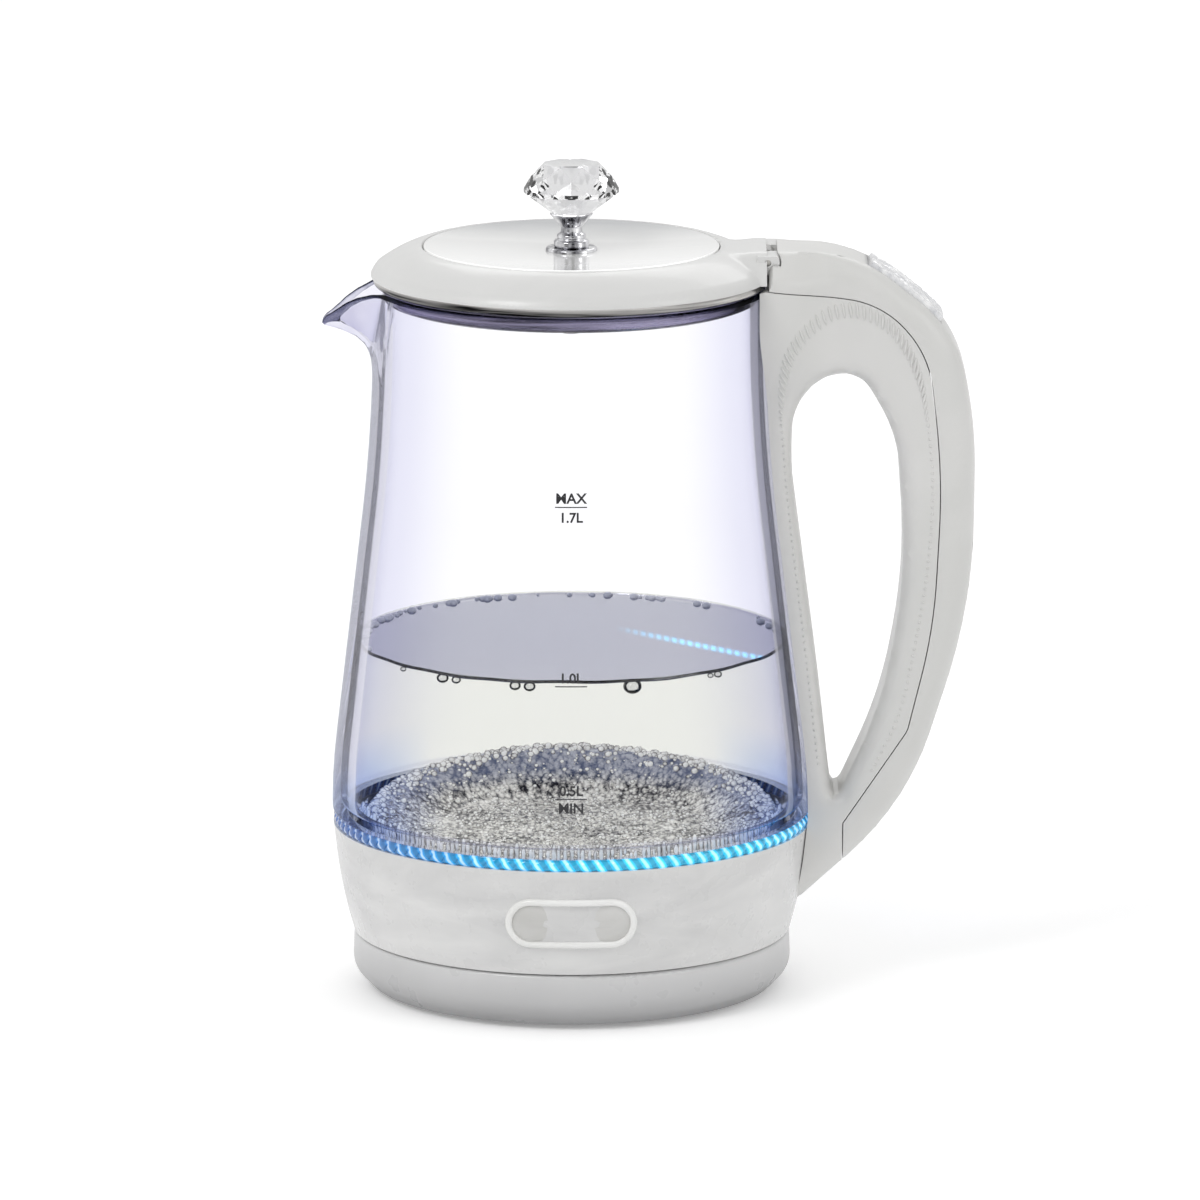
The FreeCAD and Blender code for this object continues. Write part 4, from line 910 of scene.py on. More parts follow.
def vessel_glass(name, stops):
    """Clear glass, tinted where it turns away, with painted shade round the spout and painted blue
    light from the light ring.
    """
    make = Finish(name)
    tint = make.between(make.weight(0.5), stops, "EASE")
    # Painted shade: the glass round the spout is darkened in soft clouds.
    painted_spout_shade = make.sums("MULTIPLY", make.amount(make.axis("X"), -0.056, -0.068),
                     make.amount(make.axis("Z"), 0.192, 0.202))
    cloud = make.amount(make.noise(70.0), 0.35, 0.65, 0.6, 1.0)
    tint = make.mixed(make.sums("MULTIPLY", painted_spout_shade, cloud), tint, shade((0.945, 0.943, 0.965)),
                      "MULTIPLY")
    # Painted light: the glass by the light ring is tinted blue, as if lit by it.
    glow = make.sums("MULTIPLY", make.amount(make.aside(), 0.045, 0.072),
                     make.amount(make.axis("Z"), 0.072, 0.056))
    tint = make.mixed(glow, tint, shade((0.87, 0.92, 1.0)), "MULTIPLY")
    share = make.sums("MULTIPLY", make.weight(0.06, "Fresnel"), 0.8)
    return make.shown(make.glazed(tint, share, 0.03))


def glossy_disc():
    """The lid's high-gloss disc, with a painted reflection that makes it brighter towards the front and
    a painted glow there.
    """
    make = Finish("disc_gloss")
    # Painted reflection and glow: the tone and the emission rise towards the front.
    depth = make.axis("Y")
    share = make.sums("ADD", make.amount(depth, 0.042, -0.004),
                      make.amount(make.noise(30.0), 0.3, 0.7, -0.06, 0.06))
    colour = make.between(share, [(0.05, (0.66, 0.67, 0.68)), (0.6, (0.955, 0.955, 0.95))])
    return make.shown(make.node("BsdfPrincipled", {
        "Base Color": colour, "Roughness": 0.14, "Coat Weight": 1.0, "Coat Roughness": 0.04,
        "Emission Color": colour,
        "Emission Strength": make.amount(depth, 0.01, -0.03, 0.0, 0.3)}))


def glint(make):
    """The light ring's reflection: a broken cyan streak at the water's right side."""
    along = make.axis("X")
    beside = make.sums("SUBTRACT", along, 0.030)
    gap = make.sums("ABSOLUTE", make.sums("ADD", make.axis("Y"), beside), 0.0)
    band = make.amount(gap, 0.0055, 0.001)
    dashes = make.amount(make.sums("SINE", make.sums("MULTIPLY", along, 2600.0), 0.0),
                         -0.6, 0.3, 0.35, 1.0)
    right = make.amount(along, 0.014, 0.036)
    strength = make.sums("MULTIPLY", make.sums("MULTIPLY", band, dashes), right)
    return make.node("Emission", {"Color": shade((0.25, 0.78, 1.0)), "Strength": strength})


def meniscus_skin():
    """The water's rim on the glass: painted shade makes it a dark line at the front; it is pale at the
    back.
    """
    make = Finish("meniscus")
    # Painted shade: the rim darkens towards the front and pales towards the back, mottled by noise.
    share = make.sums("ADD", make.amount(make.axis("Y"), -0.02, 0.03),
                      make.amount(make.noise(220.0), 0.3, 0.7, -0.25, 0.25))
    tint = make.between(share, [(0.1, (0.42, 0.44, 0.52)), (0.8, (0.97, 0.97, 0.985))])
    return make.shown(make.glazed(tint, 0.12, 0.1))


def bead_skin():
    """A steam bead seen in a crowd: painted light makes it white where it faces out and painted shade
    dark round its edge, with painted blue light from the light ring at the sides and a painted glow.
    """
    make = Finish("bead_skin")
    # Painted light and shade by how the bead faces, broken up by noise.
    painted_shade_and_mottle = make.sums("ADD", make.weight(0.5),
                       make.amount(make.noise(420.0, 2.0), 0.3, 0.7, -0.28, 0.28))
    plain = make.between(painted_shade_and_mottle, [(0.1, (0.99, 0.99, 0.985)), (0.42, (0.8, 0.79, 0.78)),
                                  (0.75, (0.2, 0.2, 0.25))])
    # Painted light: the blue tones by the light ring.
    blue = make.between(painted_shade_and_mottle, [(0.1, (0.9, 0.94, 1.0)), (0.42, (0.6, 0.69, 0.88)),
                                 (0.75, (0.12, 0.18, 0.4))])
    colour = make.mixed(make.amount(make.aside(), 0.045, 0.068), plain, blue)
    # Painted glow: the bead gives off its own colour.
    return make.shown(make.node("BsdfPrincipled", {
        "Base Color": colour, "Roughness": 0.12, "Coat Weight": 0.8,
        "Emission Color": colour, "Emission Strength": 0.3}))


def foam_skin():
    """Froth of millimetre cells: pale domes and dark seams, painted light and shade; beige drifts, and
    blue-grey ones where painted light from the light ring falls at the sides; a painted blue-grey shade
    along the top of its bank and a painted glow.
    """
    make = Finish("foam")
    where = make.node("Mapping", {"Vector": make.place(), "Scale": (1.0, 1.0, 0.6)}).outputs[0]
    # Painted light and shade: each cell is pale in the middle and dark at its seam.
    cells = make.node("TexVoronoi", {"Vector": where, "Scale": 620.0, "Randomness": 1.0})
    drift = make.amount(make.noise(60.0, 3.0), 0.3, 0.7, -0.2, 0.2)
    grain = make.amount(make.noise(1500.0, 2.0), 0.3, 0.7, -0.22, 0.22)
    share = make.sums("ADD", make.sums("ADD", cells.outputs["Distance"], drift), grain)
    plain = make.between(share, [(0.1, (0.98, 0.975, 0.96)), (0.4, (0.84, 0.83, 0.81)),
                                 (0.66, (0.55, 0.545, 0.54)), (0.9, (0.12, 0.12, 0.15))])
    # Painted light: the blue tones by the light ring.
    blue = make.between(share, [(0.1, (0.88, 0.93, 0.99)), (0.4, (0.6, 0.68, 0.86)),
                                (0.66, (0.32, 0.4, 0.62)), (0.9, (0.08, 0.12, 0.3))])
    colour = make.mixed(make.amount(make.aside(), 0.04, 0.064), plain, blue)
    # Painted shade: the top of the froth's bank darkens to blue-grey.
    bank = make.sums("MULTIPLY", make.amount(make.axis("Z"), 0.0515, 0.056), 0.55)
    colour = make.mixed(bank, colour, shade((0.45, 0.5, 0.64)))
    # Painted glow: the froth gives off its own colour.
    return make.shown(make.node("BsdfPrincipled", {
        "Base Color": colour, "Roughness": 0.2, "Coat Weight": 0.6,
        "Normal": make.bump(cells.outputs["Distance"], 0.8, -0.0006),
        "Emission Color": colour, "Emission Strength": 0.3}))


def bubble_skin():
    """A bubble: a bright mirror-like skin that darkens as it turns away."""
    make = Finish("bubble_skin")
    tint = make.between(make.weight(0.35), [(0.1, (0.97, 0.97, 0.97)),
                                            (0.85, (0.28, 0.28, 0.36))], "EASE")
    return make.shown(make.glazed(tint, make.weight(0.35, "Fresnel"), 0.05))


def lit_guide():
    """The light guide: cyan at the front right, deeper blue round the left and back."""
    make = Finish("light_guide")
    toward = make.sums("SUBTRACT", make.sums("MULTIPLY", make.axis("X"), 0.55), make.axis("Y"))
    share = make.amount(toward, -0.075, 0.085)
    colour = make.between(share, [(0.0, (0.24, 0.36, 0.62)), (0.45, (0.27, 0.42, 0.68)),
                                  (0.72, (0.12, 0.55, 0.8)), (1.0, (0.2, 0.74, 0.9))])
    turn = make.sums("ARCTAN2", make.axis("Y"), make.axis("X"))
    lean = make.sums("MULTIPLY", make.axis("Z"), 9.0)
    wave = make.sums("SINE", make.sums("MULTIPLY", make.sums("ADD", turn, lean), 96.0), 0.0)
    sparkle = make.amount(make.noise(260.0, 2.0), 0.35, 0.7, 0.7, 1.25)
    bright = make.sums("MULTIPLY", make.amount(wave, -0.6, 0.2, 0.05, 0.85), sparkle)
    bright = make.sums("MULTIPLY", bright, make.amount(share, 0.45, 0.85, 0.4, 1.0))
    pale = make.mixed(make.amount(wave, 0.5, 1.0, 0.0, 0.45), colour, shade((0.9, 0.97, 1.0)))
    return make.shown(make.node("BsdfPrincipled", {
        "Base Color": pale, "Roughness": 0.12, "Coat Weight": 0.6, "Emission Color": pale,
        "Emission Strength": bright}))


def faceted_clear():
    """Clear plastic that its cut facets make nearly white, with a little show-through and a painted
    white glow.
    """
    make = Finish("rocker_clear")
    veil = make.noise(240.0, 2.0)
    # Painted glow: a faint white emission on the clear plastic.
    white = make.node("BsdfPrincipled", {
        "Base Color": make.between(veil, [(0.35, (0.82, 0.825, 0.84)), (0.65, (0.96, 0.96, 0.96))]),
        "Roughness": 0.12, "Coat Weight": 1.0,
        "Emission Color": WHITE, "Emission Strength": 0.12})
    clear = make.node("BsdfTransparent", {"Color": shade((0.95, 0.95, 0.96))})
    return make.shown(make.node("MixShader", {0: make.amount(veil, 0.3, 0.7, 0.68, 0.9),
                                              1: clear, 2: white}))


def cut_glass():
    """Clear cut crystal with a hint of streaking in its polish."""
    make = Finish("cut_crystal")
    polish = make.amount(make.noise(200.0, 2.0), 0.3, 0.7, 0.0, 0.02)
    return make.shown(make.node("BsdfPrincipled", {
        "Base Color": make.between(make.noise(90.0), [(0.3, (0.97, 0.97, 0.98)),
                                                      (0.7, (1.0, 1.0, 1.0))]),
        "Roughness": polish, "IOR": 1.62, "Transmission Weight": 1.0}))


def dress():
    """Give every CAD node the finish of its slot, or one of its own."""
    own = {"lid_liner": "spun_steel_painted_reflections"}
    for part in frame["record"]["subparts"]:
        shape = nodes[part["node"]].data
        shape.materials.clear()
        shape.materials.append(palette[own.get(part["node"], part["material_slot"])])


def stand_for(piece, body, slot_name, *replaced):
    """A new piece rides a body and may stand for CAD nodes; slot_name is not used."""
    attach(piece, body)
    if replaced:
        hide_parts(*replaced)
    return piece


# ---------------------------------------------------------------- lid

def lid_height(spots):
    """The height of the lid ring's upper face, running smoothly out into its tongue."""
    x, y = spots[:, 0], spots[:, 1]
    radius = np.hypot(x, y)
    line = rounded([
        (DISC_RADIUS, 9.3), (49.0, 9.0, 6.0), (54.6, 7.0, 30.0), (60.9, 2.9, 3.4),
        (LID_RADIUS, 0.5)], closed=False, steps=10)
    ring = read_off(line, radius)
    tongue = np.maximum(LID_TOP - LID_RIM + read_off(CREST[:-1], abs(y)), 0.5)
    share = ease(x, 42.0, 57.0)
    return LID_RIM + np.where(share > 0, ring + (np.maximum(tongue, ring) - ring) * share, ring)


def lid_ring(material):
    """The moulded ring round the lid's disc, with its tongue towards the hinge."""
    corner = math.asin(TONGUE_HALF / LID_RADIUS)
    end = HANDLE_FACE - 0.6
    turns = np.linspace(corner, 2 * math.pi - corner, 260)
    outline = [polar(LID_RADIUS, turn, 0.0)[:2] for turn in turns]
    outline += [(end, y) for y in np.linspace(-TONGUE_HALF, TONGUE_HALF, 30)]
    opening = DISC_RADIUS + 0.3
    hole = [place[:2] for place in circle(opening, 0.0, 240)]
    rings = []
    for radius in (LID_RADIUS - 0.3, LID_RADIUS - 0.8, LID_RADIUS - 1.6, LID_RADIUS - 2.6,
                   opening + 0.4, opening + 1.2):
        for turn in np.linspace(corner, 2 * math.pi - corner, 200):
            rings.append(polar(radius, turn, 0.0)[:2])

    def upper(spots):
        low = edge_drop(0.5, 0.5, np.hypot(*spots.T) - opening)
        return np.column_stack([spots, lid_height(spots) - low])

    def lower(spots):
        return np.column_stack([spots, np.full(len(spots), LID_RIM)])

    return slab("lid_ring", [outline, hole], 2.0, upper, lower, material, None,
                np.array(rings), crease=45.0)


def lid_knuckles(material):
    """The lid's two hinge knuckles, either side of the bracket, with their pin holes."""
    points, faces = [], []
    reach, level = HINGE
    for side in (-1, 1):
        near, far = KNUCKLE_SPAN
        profile = rounded([(PIN_HOLE, near), (KNUCKLE_RADIUS, near, 0.3),
                           (KNUCKLE_RADIUS, far, 0.4), (PIN_HOLE, far)], steps=3)
        rows = []
        for radius, y in profile:
            ring = []
            for turn in full_turn(48):
                z = min(level + radius * math.sin(turn), LID_TOP - 0.9)
                ring.append((reach + radius * math.cos(turn), side * y, z))
            rows.append(ring)
        add_grid(points, faces, rows, wrap_rows=True)
    return solid("lid_knuckles", points, faces, material)


# ---------------------------------------------------------------- knob

def crystal(material):
    """The knob's cut crystal: a brilliant with eight mains over the chrome cup."""
    sides = 8
    girdle = KNOB_TOP - 8.3

    def ring(radius, level, shift, count=sides):
        return [polar(radius, 2 * math.pi * (k + shift) / count - math.pi / 2, level)
                for k in range(count)]

    points = (ring(9.0, KNOB_TOP, 0.5) + ring(12.5, KNOB_TOP - 3.9, 0.0)
              + ring(KNOB_RADIUS, girdle + 0.6, 0.0, 16) + ring(KNOB_RADIUS, girdle - 0.7, 0.0, 16)
              + ring(9.6, girdle - 4.6, 0.5) + ring(4.1, KNOB_LOW, 0.0, 16))
    table, middle, upper, lower, main, culet = 0, 8, 16, 32, 48, 56
    faces = [tuple(range(table, table + sides)), tuple(range(culet + 15, culet - 1, -1))]
    for k in range(sides):
        after = (k + 1) % sides
        girdle_at = 2 * k
        # Table point k stands half a step before middle point k + 1.
        faces.append((table + k, middle + k, table + (k - 1) % sides))
        faces.append((table + k, middle + k, upper + (girdle_at + 1) % 16, middle + after))
        for shift in (-1, 1):
            faces.append((middle + k, upper + girdle_at % 16, upper + (girdle_at + shift) % 16))
        faces.append((lower + (girdle_at + 1) % 16, main + k, lower + girdle_at))
        faces.append((lower + girdle_at, main + k, culet + girdle_at, main + (k - 1) % sides))
        faces.append((lower + girdle_at, main + (k - 1) % sides, lower + (girdle_at - 1) % 16))
        faces.append((main + k, culet + girdle_at, culet + (girdle_at + 1) % 16))
        faces.append((main + k, culet + (girdle_at + 1) % 16, culet + (girdle_at + 2) % 16))
    for k in range(16):
        faces.append((upper + k, upper + (k + 1) % 16, lower + (k + 1) % 16, lower + k))
    return solid("knob_cut_crystal", points, faces, material, FACETED)


# ---------------------------------------------------------------- switch

ROCKER_HALF = 14.0
ROCKER_SIDE = 8.5
PIVOT_DEPTH = 4.6


def rocker_place(along, across, rise):
    """A point of the switch from its own directions: along the slope, sideways, outwards."""
    up = rise + PIVOT_DEPTH
    return (SWITCH_PIN[0] + along * math.cos(SWITCH_SLOPE) + up * math.sin(SWITCH_SLOPE), across,
            SWITCH_PIN[1] - along * math.sin(SWITCH_SLOPE) + up * math.cos(SWITCH_SLOPE))


def rocker(material):
    """The clear rocker, its upper face cut into small irregular pyramids."""
    points, faces = [], []
    long_steps, side_steps = 14, 8
    rows = []
    for i in range(long_steps + 1):
        row = []
        for j in range(side_steps + 1):
            along = ROCKER_HALF * (2 * i / long_steps - 1)
            across = ROCKER_SIDE * (2 * j / side_steps - 1)
            border = i in (0, long_steps) or j in (0, side_steps)
            crown = 1.75 - 0.9 * (along / ROCKER_HALF) ** 2 - 0.2 * (across / ROCKER_SIDE) ** 2
            rise = crown - 0.25 if border else crown + chance.uniform(-0.35, 0.1)
            if not border:
                along += chance.uniform(-0.45, 0.45)
                across += chance.uniform(-0.45, 0.45)
            row.append((along, across, rise))
        rows.append(row)
    for row in rows:
        points.extend(rocker_place(*p) for p in row)
    width = side_steps + 1
    for i in range(long_steps):
        for j in range(side_steps):
            a = i * width + j
            points.append(rocker_place(*(np.mean([rows[i][j], rows[i][j + 1], rows[i + 1][j],
                                                  rows[i + 1][j + 1]], axis=0)
                                         + (0, 0, chance.uniform(0.05, 0.35)))))
            tip = len(points) - 1
            corners = (a, a + 1, a + 1 + width, a + width)
            for one, two in zip(corners, corners[1:] + corners[:1]):
                faces.append((one, two, tip))
    rim = (list(range(width)) + [i * width + side_steps for i in range(1, long_steps + 1)]
           + [long_steps * width + j for j in range(side_steps - 1, -1, -1)]
           + [i * width for i in range(long_steps - 1, 0, -1)])
    start = len(points)
    for k in rim:
        i, j = divmod(k, width)
        along, across, _ = rows[i][j]
        points.append(rocker_place(along, across, -1.6))
    for k in range(len(rim)):
        after = (k + 1) % len(rim)
        faces.append((rim[k], rim[after], start + after, start + k))
    faces.append(tuple(range(start, start + len(rim))))
    leg = rounded([(-2.6, -1.8), (2.6, -1.8), (2.6, -7.2, 2.4), (-2.6, -7.2, 2.4)], steps=8)
    rows = [[rocker_place(a, y, r) for a, r in leg] for y in (-ROCKER_SIDE, ROCKER_SIDE)]
    add_grid(points, faces, rows)
    last = len(points)
    faces.append(tuple(range(last - len(leg), last)))
    faces.append(tuple(range(last - 2 * len(leg), last - len(leg))))
    return solid("switch_clear_rocker", points, faces, material, FACETED)


def carved(piece, points, faces):
    """Cut a closed shape out of a piece, for good."""
    cutter = solid("cutter", points, faces, palette["handle_plastic"])
    opening = piece.modifiers.new("opening", "BOOLEAN")
    opening.operation = "DIFFERENCE"
    opening.solver = "EXACT"
    opening.object = cutter
    bpy.context.view_layer.update()
    seen = piece.evaluated_get(bpy.context.evaluated_depsgraph_get())
    mesh = bpy.data.meshes.new_from_object(seen)
    piece.modifiers.clear()
    piece.data = mesh
    bpy.data.objects.remove(cutter)


def open_cover(cover):
    """Cut the rocker's window and the hinge knuckles' pocket in the back cover."""
    points, faces = [], []
    ends = (ROCKER_HALF + 0.6, ROCKER_SIDE + 0.4)
    corners = [(-ends[0], -ends[1]), (ends[0], -ends[1]), (ends[0], ends[1]), (-ends[0], ends[1])]
    rows = [[rocker_place(a, y, rise) for a, y in corners] for rise in (-5.5, 6.0)]
    sweep(points, faces, rows)
    carved(cover, points, faces)
    points, faces = [], []
    reach, level = HINGE
    radius = KNUCKLE_RADIUS + 0.4
    end = KNUCKLE_SPAN[1] + 0.5
    rows = []
    for y in (-end, end):
        rows.append([(reach + radius * math.cos(a), y, level + radius * math.sin(a))
                     for a in full_turn(48)])
    sweep(points, faces, rows)
    carved(cover, points, faces)


# ---------------------------------------------------------------- shell trim and light ring

def on_shell(x, z, rise):
    """A place in front of the lower shell, standing off its face by rise."""
    radius = float(shell_radius(z)) + rise
    return (x, -math.sqrt(radius * radius - x * x), z)


def stadium(end, reach, steps):
    """A long oval: two half circles of radius reach, centred at end to both sides."""
    return rounded([(sx * (end + reach), sz * reach, reach * 0.999)
                    for sx, sz in ((-1, -1), (1, -1), (1, 1), (-1, 1))], steps=steps)


def badge_rim(material):
    """The raised half-round rim of the oval badge, bedded in the shell."""
    points, faces = [], []
    half, side = 1.15, BADGE_RISE - 1.15
    path = spaced(stadium(BADGE_HALF - BADGE_RISE, side, 24), 0.9, closed=True)
    run = np.roll(path, -1, axis=0) - np.roll(path, 1, axis=0)
    outward = np.column_stack([run[:, 1], -run[:, 0]]) / np.hypot(*run.T)[:, None]
    rows = []
    for step in range(15):
        angle = math.pi * step / 14
        row = []
        for (x, z), (ox, oz) in zip(path, outward):
            shift = half * math.cos(angle)
            rise = -0.5 + 1.75 * math.sin(angle) ** 0.8
            row.append(on_shell(x + ox * shift, BADGE_LEVEL + z + oz * shift, rise))
        rows.append(row)
    add_grid(points, faces, rows, wrap_rows=True)
    return solid("badge_bezel", points, faces, material, 60.0)


def badge_face(material):
    """The badge's blank, slightly crowned plate inside its rim."""
    points, faces = [], []
    half, side = BADGE_HALF - 2.1, BADGE_RISE - 2.1
    rows = []
    for rise, shrink in ((-0.8, 0.0), (0.25, 0.0), (0.5, 0.5), (0.62, 2.2), (0.68, side * 0.8)):
        path = stadium(half - side, side - shrink, 16)
        rows.append([on_shell(x, BADGE_LEVEL + z, rise) for x, z in path])
    add_grid(points, faces, rows)
    width = len(rows[0])
    faces.append(tuple(range(width)))
    faces.append(tuple(range(len(points) - width, len(points))))
    return solid("badge_blank_plate", points, faces, material, 50.0)


def light_ring(material):
    """The lit guide round the glass's foot: slanted lens blocks on a ring."""
    points, faces = [], []
    low, high = GUIDE_LOW, GLASS_SHOULDER - 0.1
    core = rounded([(71.2, low, 0.3), (GUIDE_RADIUS - 0.75, low, 0.3),
                    (GUIDE_RADIUS - 0.75, high, 0.3), (71.2, high, 0.3)], steps=3)
    add_grid(points, faces, [circle(r, z, 240) for r, z in core], wrap_rows=True)
    count = 96
    pitch = 2 * math.pi / count
    for k in range(count):
        rows = []
        for share in (-0.5, -0.42, -0.2, 0.0, 0.2, 0.42, 0.5):
            swell = 1.0 - abs(share) ** 4 * 9.0
            row = []
            for level, rise in ((low + 0.2, 0.0), (low + 0.45, 0.55), (low + 1.2, 0.85),
                                ((low + high) / 2, 1.0), (high - 1.2, 0.85),
                                (high - 0.45, 0.55), (high - 0.2, 0.0)):
                lean = (level - (low + high) / 2) * 0.16 / (high - low)
                angle = pitch * (k + share * 0.86 + lean * 2.6)
                radius = GUIDE_RADIUS - 0.95 + 0.93 * rise * max(swell, 0.3)
                row.append(polar(radius, angle, level))
            row += [(x * 0.985, y * 0.985, z) for x, y, z in reversed(row)]
            rows.append(row)
        sweep(points, faces, rows)
    return solid("light_ring", points, faces, material, 40.0)


# ---------------------------------------------------------------- water and bubbles

def water(material, surface):
    """A litre of water: it stands on the plate and wets the glass."""
    gap = WALL + 0.15
    levels = np.linspace(GLASS_SHOULDER + WALL + 2.0, WATER_LEVEL, 24)
    wet = [(float(vessel_radius(z, gap)), z) for z in levels]
    side = FOAM_RADIUS - 0.1
    profile = rounded([(0.0, PLATE + 0.15), (side, PLATE + 0.15, 0.8), (side, GLASS_SHOULDER, 2.0)],
                      closed=False, steps=5)
    profile += wet
    top = wet[-1][0]
    profile += [(top - 0.25, WATER_LEVEL - 0.5), (top - 0.9, WATER_LEVEL - 1.0),
                (top - 2.4, WATER_LEVEL - 1.25), (0.0, WATER_LEVEL - 1.3)]
    made = lathe("water", profile, material)
    made.data.materials.append(surface)
    for face in made.data.polygons:
        level = face.center.z / MM
        if level > WATER_LEVEL - 1.4 and face.normal.z > 0.5:
            face.material_index = 1
    return made


def add_ball(points, faces, centre, radius, tall=1.0, around=8):
    """A small ball, its height scaled by tall, with a number of sides around."""
    rows = []
    bands = around // 2
    for i in range(1, bands + 1):
        polar = math.pi * i / (bands + 1)
        ring = []
        for k in range(around):
            angle = 2 * math.pi * (k + 0.5 * (i % 2)) / around
            ring.append((centre[0] + radius * math.sin(polar) * math.cos(angle),
                         centre[1] + radius * math.sin(polar) * math.sin(angle),
                         centre[2] + radius * tall * math.cos(polar)))
        rows.append(ring)
    start = len(points)
    add_grid(points, faces, rows)
    points.append((centre[0], centre[1], centre[2] + radius * tall))
    points.append((centre[0], centre[1], centre[2] - radius * tall))
    last = start + around * (bands - 1)
    for k in range(around):
        after = (k + 1) % around
        faces.append((start + k, start + after, len(points) - 2))
        faces.append((last + after, last + k, len(points) - 1))


def foam_level(radius, turn):
    """The froth's top over the plate: low at the front, heaped against the back wall."""
    back = max(0.0, math.sin(turn))
    bank = float(ease(radius, 46.0, 63.0))
    return PLATE + 1.8 + bank * (4.2 + 9.0 * back)


def foam_bed(material):
    """The close white froth that covers the hot plate."""
    points, faces = [], []
    rows = [circle(radius, PLATE + 0.2, 180) for radius in (0.2, 30.0, FOAM_RADIUS)]
    for radius in np.concatenate([np.linspace(FOAM_RADIUS, 50.0, 14), np.linspace(48.0, 0.2, 24)]):
        row = []
        for turn in full_turn(180):
            lumps = chance.uniform(-0.45, 0.45) * min(1.0, radius / 6.0)
            row.append(polar(radius, turn, foam_level(radius, turn) + lumps))
        rows.append(row)
    add_grid(points, faces, rows)
    faces.append(tuple(range(180)))
    faces.append(tuple(range(len(points) - 180, len(points))))
    return solid("foam_bed", points, faces, material, ROUND)


def boiling_bubbles(material):
    """Beads of steam on the froth, crowded along its bank at the wall."""
    points, faces = [], []
    for _ in range(1500):
        radius = (FOAM_RADIUS - 1.8) * math.sqrt(chance.random())
        turn = chance.uniform(0, 2 * math.pi)
        size = chance.uniform(0.3, 0.85)
        level = foam_level(radius, turn) + size * 0.2
        add_ball(points, faces, polar(radius, turn, level), size, 0.8, around=6)
    for _ in range(1300):
        turn = chance.uniform(0, 2 * math.pi)
        size = chance.uniform(0.4, 1.25)
        radius = FOAM_RADIUS - 0.1 - size - abs(chance.gauss(0.0, 2.6))
        level = foam_level(radius, turn) + size * chance.uniform(0.0, 0.7)
        add_ball(points, faces, polar(radius, turn, level), size, 0.85)
    return solid("boiling_beads", points, faces, material, ROUND)


def wall_bubbles(material):
    """Bubbles drawn out upwards against the front of the glass's foot."""
    points, faces = [], []
    count = 110
    for k in range(count):
        turn = math.pi * (1 + (k + chance.uniform(-0.3, 0.3)) / count)
        size = chance.uniform(0.55, 0.95)
        tall = chance.uniform(2.2, 4.2)
        level = GLASS_SHOULDER - 1.5 + chance.uniform(0.0, 2.0)
        add_ball(points, faces, polar(FOAM_RADIUS + 0.7 - size, turn, level), size, tall)
    return solid("wall_bubbles", points, faces, material, ROUND)


FRONT_BUBBLES = [(-53.0, 1.0), (-41.0, 1.9), (-36.4, 1.5), (-17.8, 1.8), (-13.2, 1.9),
                 (19.8, 2.9), (43.8, 1.0), (46.4, 1.3)]


def hanging_bubbles(material):
    """The larger bubbles that hang at the front of the waterline."""
    points, faces = [], []
    wall = float(vessel_radius(WATER_LEVEL, WALL))
    for x, size in FRONT_BUBBLES:
        reach = wall - size - 0.5
        across = x * reach / wall
        centre = (across, -math.sqrt(reach * reach - across * across), WATER_LEVEL - 1.6 - size * 0.5)
        add_ball(points, faces, centre, size, 0.8, 16)
    return solid("hanging_bubbles", points, faces, material, ROUND)


def surface_froth(material):
    """Small bubbles that ring the rest of the waterline."""
    points, faces = [], []
    wall = float(vessel_radius(WATER_LEVEL, WALL))
    for _ in range(70):
        turn = chance.uniform(-0.3, math.pi + 0.3)
        size = chance.uniform(0.5, 1.6)
        reach = wall - size - chance.uniform(0.3, 1.6)
        add_ball(points, faces, polar(reach, turn, WATER_LEVEL - 1.0), size, 0.8)
    return solid("surface_froth", points, faces, material, ROUND)


def meniscus(material):
    """The rim of water that climbs the glass all round."""
    points, faces = [], []
    rows = []
    wall = float(vessel_radius(WATER_LEVEL, WALL)) - 0.75
    for angle in full_turn(8):
        row = []
        for turn in full_turn(240):
            wave = 0.25 * math.sin(7 * turn) + 0.2 * math.sin(19 * turn + 1.0)
            row.append(polar(wall + 0.5 * math.cos(angle), turn,
                             WATER_LEVEL - 0.7 + wave * 0.6 + 0.5 * math.sin(angle)))
        rows.append(row)
    add_grid(points, faces, rows, wrap_rows=True)
    return solid("meniscus", points, faces, material)


# ---------------------------------------------------------------- level marks

def level_mark(name, text, level, size, material):
    """A line of print wrapped onto the front of the glass."""
    curve = bpy.data.curves.new(name, "FONT")
    curve.body = text
    curve.size = size * MM
    curve.align_x = "CENTER"
    curve.offset = 0.1 * MM
    curve.extrude = 0.02 * MM
    curve.resolution_u = 4
    plain = bpy.data.objects.new(name, curve)
    bpy.context.scene.collection.objects.link(plain)
    bpy.context.view_layer.update()
    mesh = bpy.data.meshes.new_from_object(plain)
    bpy.data.objects.remove(plain)
    wrap_print(mesh, level)
    mesh.materials.clear()
    mesh.materials.append(material)
    made = bpy.data.objects.new(name, mesh)
    bpy.context.scene.collection.objects.link(made)
    return made


def wrap_print(mesh, level):
    """Bend a flat mesh in its own XY plane onto the glass, at a height."""
    for vertex in mesh.vertices:
        x, y, lift = vertex.co / MM
        z = level + y
        radius = float(vessel_radius(z)) + 0.05 + lift
        angle = x / radius
        vertex.co = Vector((radius * math.sin(angle), -radius * math.cos(angle), z)) * MM


def level_rule(name, level, width, material):
    """A thin printed rule on the front of the glass."""
    points, faces = [], []
    rows = []
    for step in range(13):
        x = width * (step / 12 - 0.5)
        row = []
        for z, lift in ((-0.17, 0.03), (0.17, 0.03), (0.17, 0.07), (-0.17, 0.07)):
            radius = float(vessel_radius(level + z)) + lift
            row.append((radius * math.sin(x / radius), -radius * math.cos(x / radius), level + z))
        rows.append(row)
    sweep(points, faces, rows)
    return solid(name, points, faces, material)


# ---------------------------------------------------------------- handle ribs

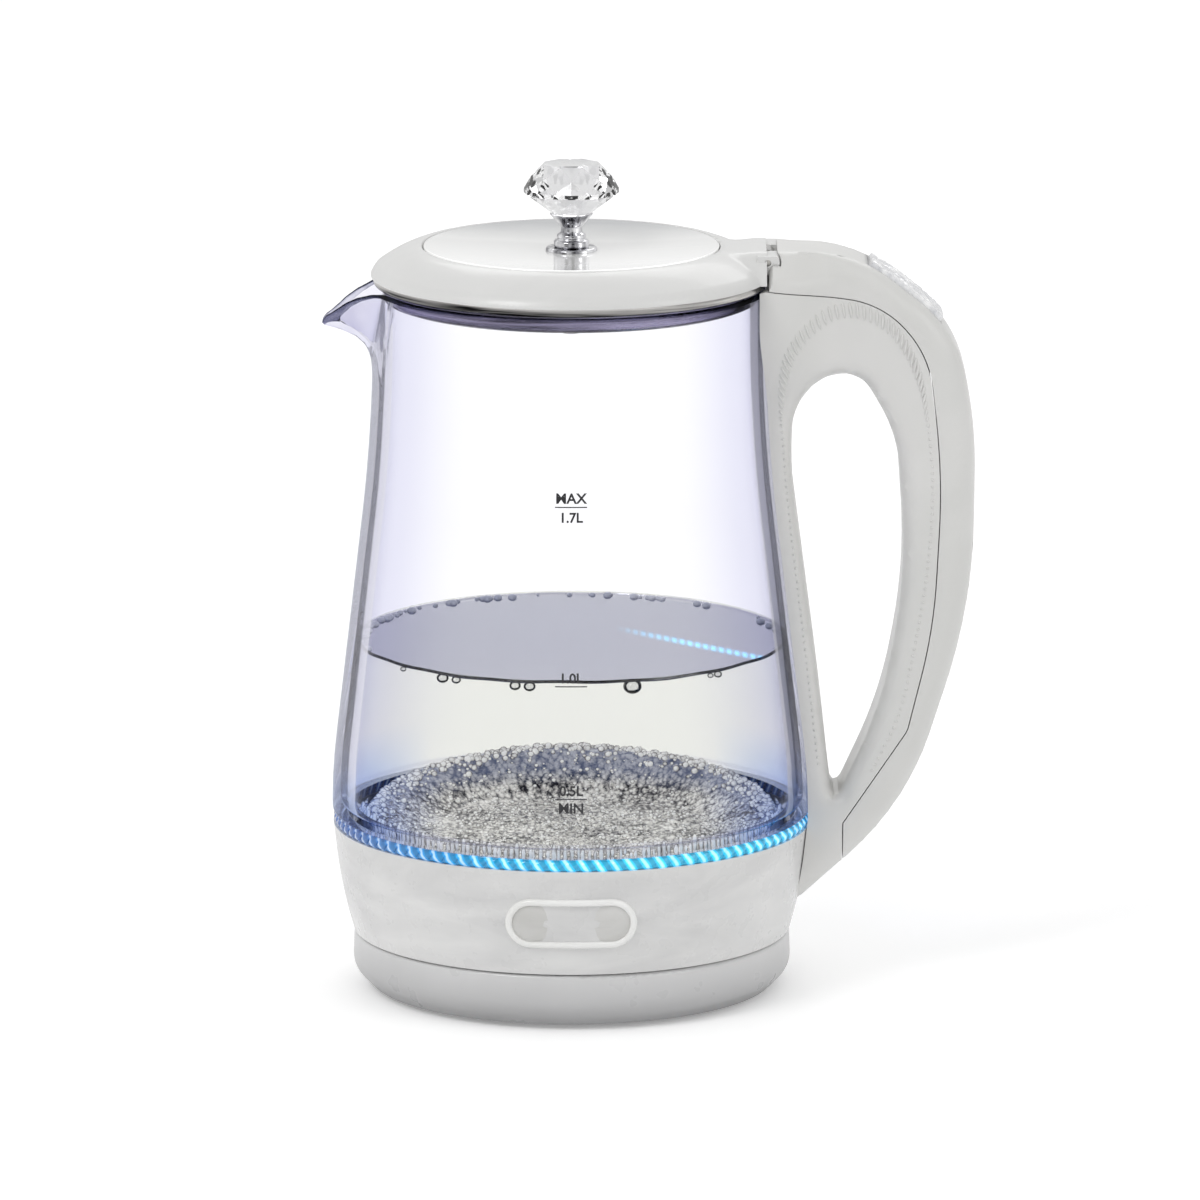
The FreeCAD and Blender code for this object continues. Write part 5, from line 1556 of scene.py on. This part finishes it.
def handle_ribs(material):
    """Short raised ribs that follow the finger hole, fading to dots down the two sides."""
    points, faces = [], []
    line = outline_of(RIB_LINE, 2.15)
    run = np.gradient(line, axis=0)
    for (x, z), (dx, dz) in zip(line, run):
        strength = float(ease(z, 176.0, 200.0))
        length = 0.45 + 2.1 * strength
        tilt = 0.28 * math.atan2(dz, dx) + math.radians(8.0)
        rib_direction = (-math.sin(tilt), math.cos(tilt))
        for side in (-1, 1):
            rows = []
            for share in (-1.0, -0.9, -0.6, 0.0, 0.6, 0.9, 1.0):
                swell = math.sqrt(max(1 - share ** 2, 0.004))
                px = x + rib_direction[0] * share * length
                pz = z + rib_direction[1] * share * length
                y = float(handle_height(np.array([(px, pz)]))[0])
                row = []
                for angle in full_turn(8):
                    across = 0.5 * swell * math.cos(angle)
                    rise = (0.3 + 0.3 * strength) * swell * math.sin(angle)
                    row.append((px + rib_direction[1] * across, side * (y + rise),
                                pz - rib_direction[0] * across))
                rows.append(row)
            sweep(points, faces, rows)
    return solid("handle_ribs", points, faces, material, 60.0)


# ---------------------------------------------------------------- assembly

palette = materials()
studio()
camera()
dress()
stand_for(glass_body(palette["body_glass"], palette["glass_lip"]), "kettle", "body_glass", "glass_body")
ribbed_frame, back_cover = handle(palette["handle_plastic"])
open_cover(back_cover)
stand_for(ribbed_frame, "kettle", "handle_plastic", "handle_frame")
stand_for(back_cover, "kettle", "handle_plastic", "handle_cover")
stand_for(handle_ribs(palette["handle_plastic"]), "kettle", "handle_plastic")
stand_for(lid_ring(palette["lid_plastic"]), "lid", "lid_plastic", "lid_shell")
stand_for(lid_knuckles(palette["lid_plastic"]), "lid", "lid_plastic")
stand_for(crystal(palette["crystal"]), "lid", "crystal", "knob_crystal")
stand_for(rocker(palette["rocker_plastic"]), "switch", "rocker_plastic", "switch_rocker")
stand_for(badge_rim(palette["badge_rim"]), "kettle", "badge_rim", "badge_rim")
stand_for(badge_face(palette["badge_plate"]), "kettle", "badge_plate", "badge_plate")
stand_for(light_ring(palette["light_guide"]), "kettle", "light_guide", "light_guide")
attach(water(palette["water"], palette["water_surface"]), "kettle")
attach(meniscus(palette["meniscus"]), "kettle")
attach(foam_bed(palette["foam"]), "kettle")
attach(boiling_bubbles(palette["beads"]), "kettle")
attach(wall_bubbles(palette["beads"]), "kettle")
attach(hanging_bubbles(palette["bubbles"]), "kettle")
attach(surface_froth(palette["froth"]), "kettle")
for name, text, level, size in (
    ("mark_max", "MAX", 165.6, 4.4), ("mark_1_7", "1.7L", 159.8, 4.2),
    ("mark_1_0", "1.0L", 110.8, 4.2), ("mark_0_5", "0.5L", 76.4, 4.2), ("mark_min", "MIN", 71.0, 4.4),
):
    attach(level_mark(name, text, level, size, palette["print"]), "kettle")
for name, level in (("rule_max", 164.4), ("rule_1_0", 109.7), ("rule_min", 75.3)):
    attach(level_rule(name, level, 9.8, palette["print"]), "kettle")
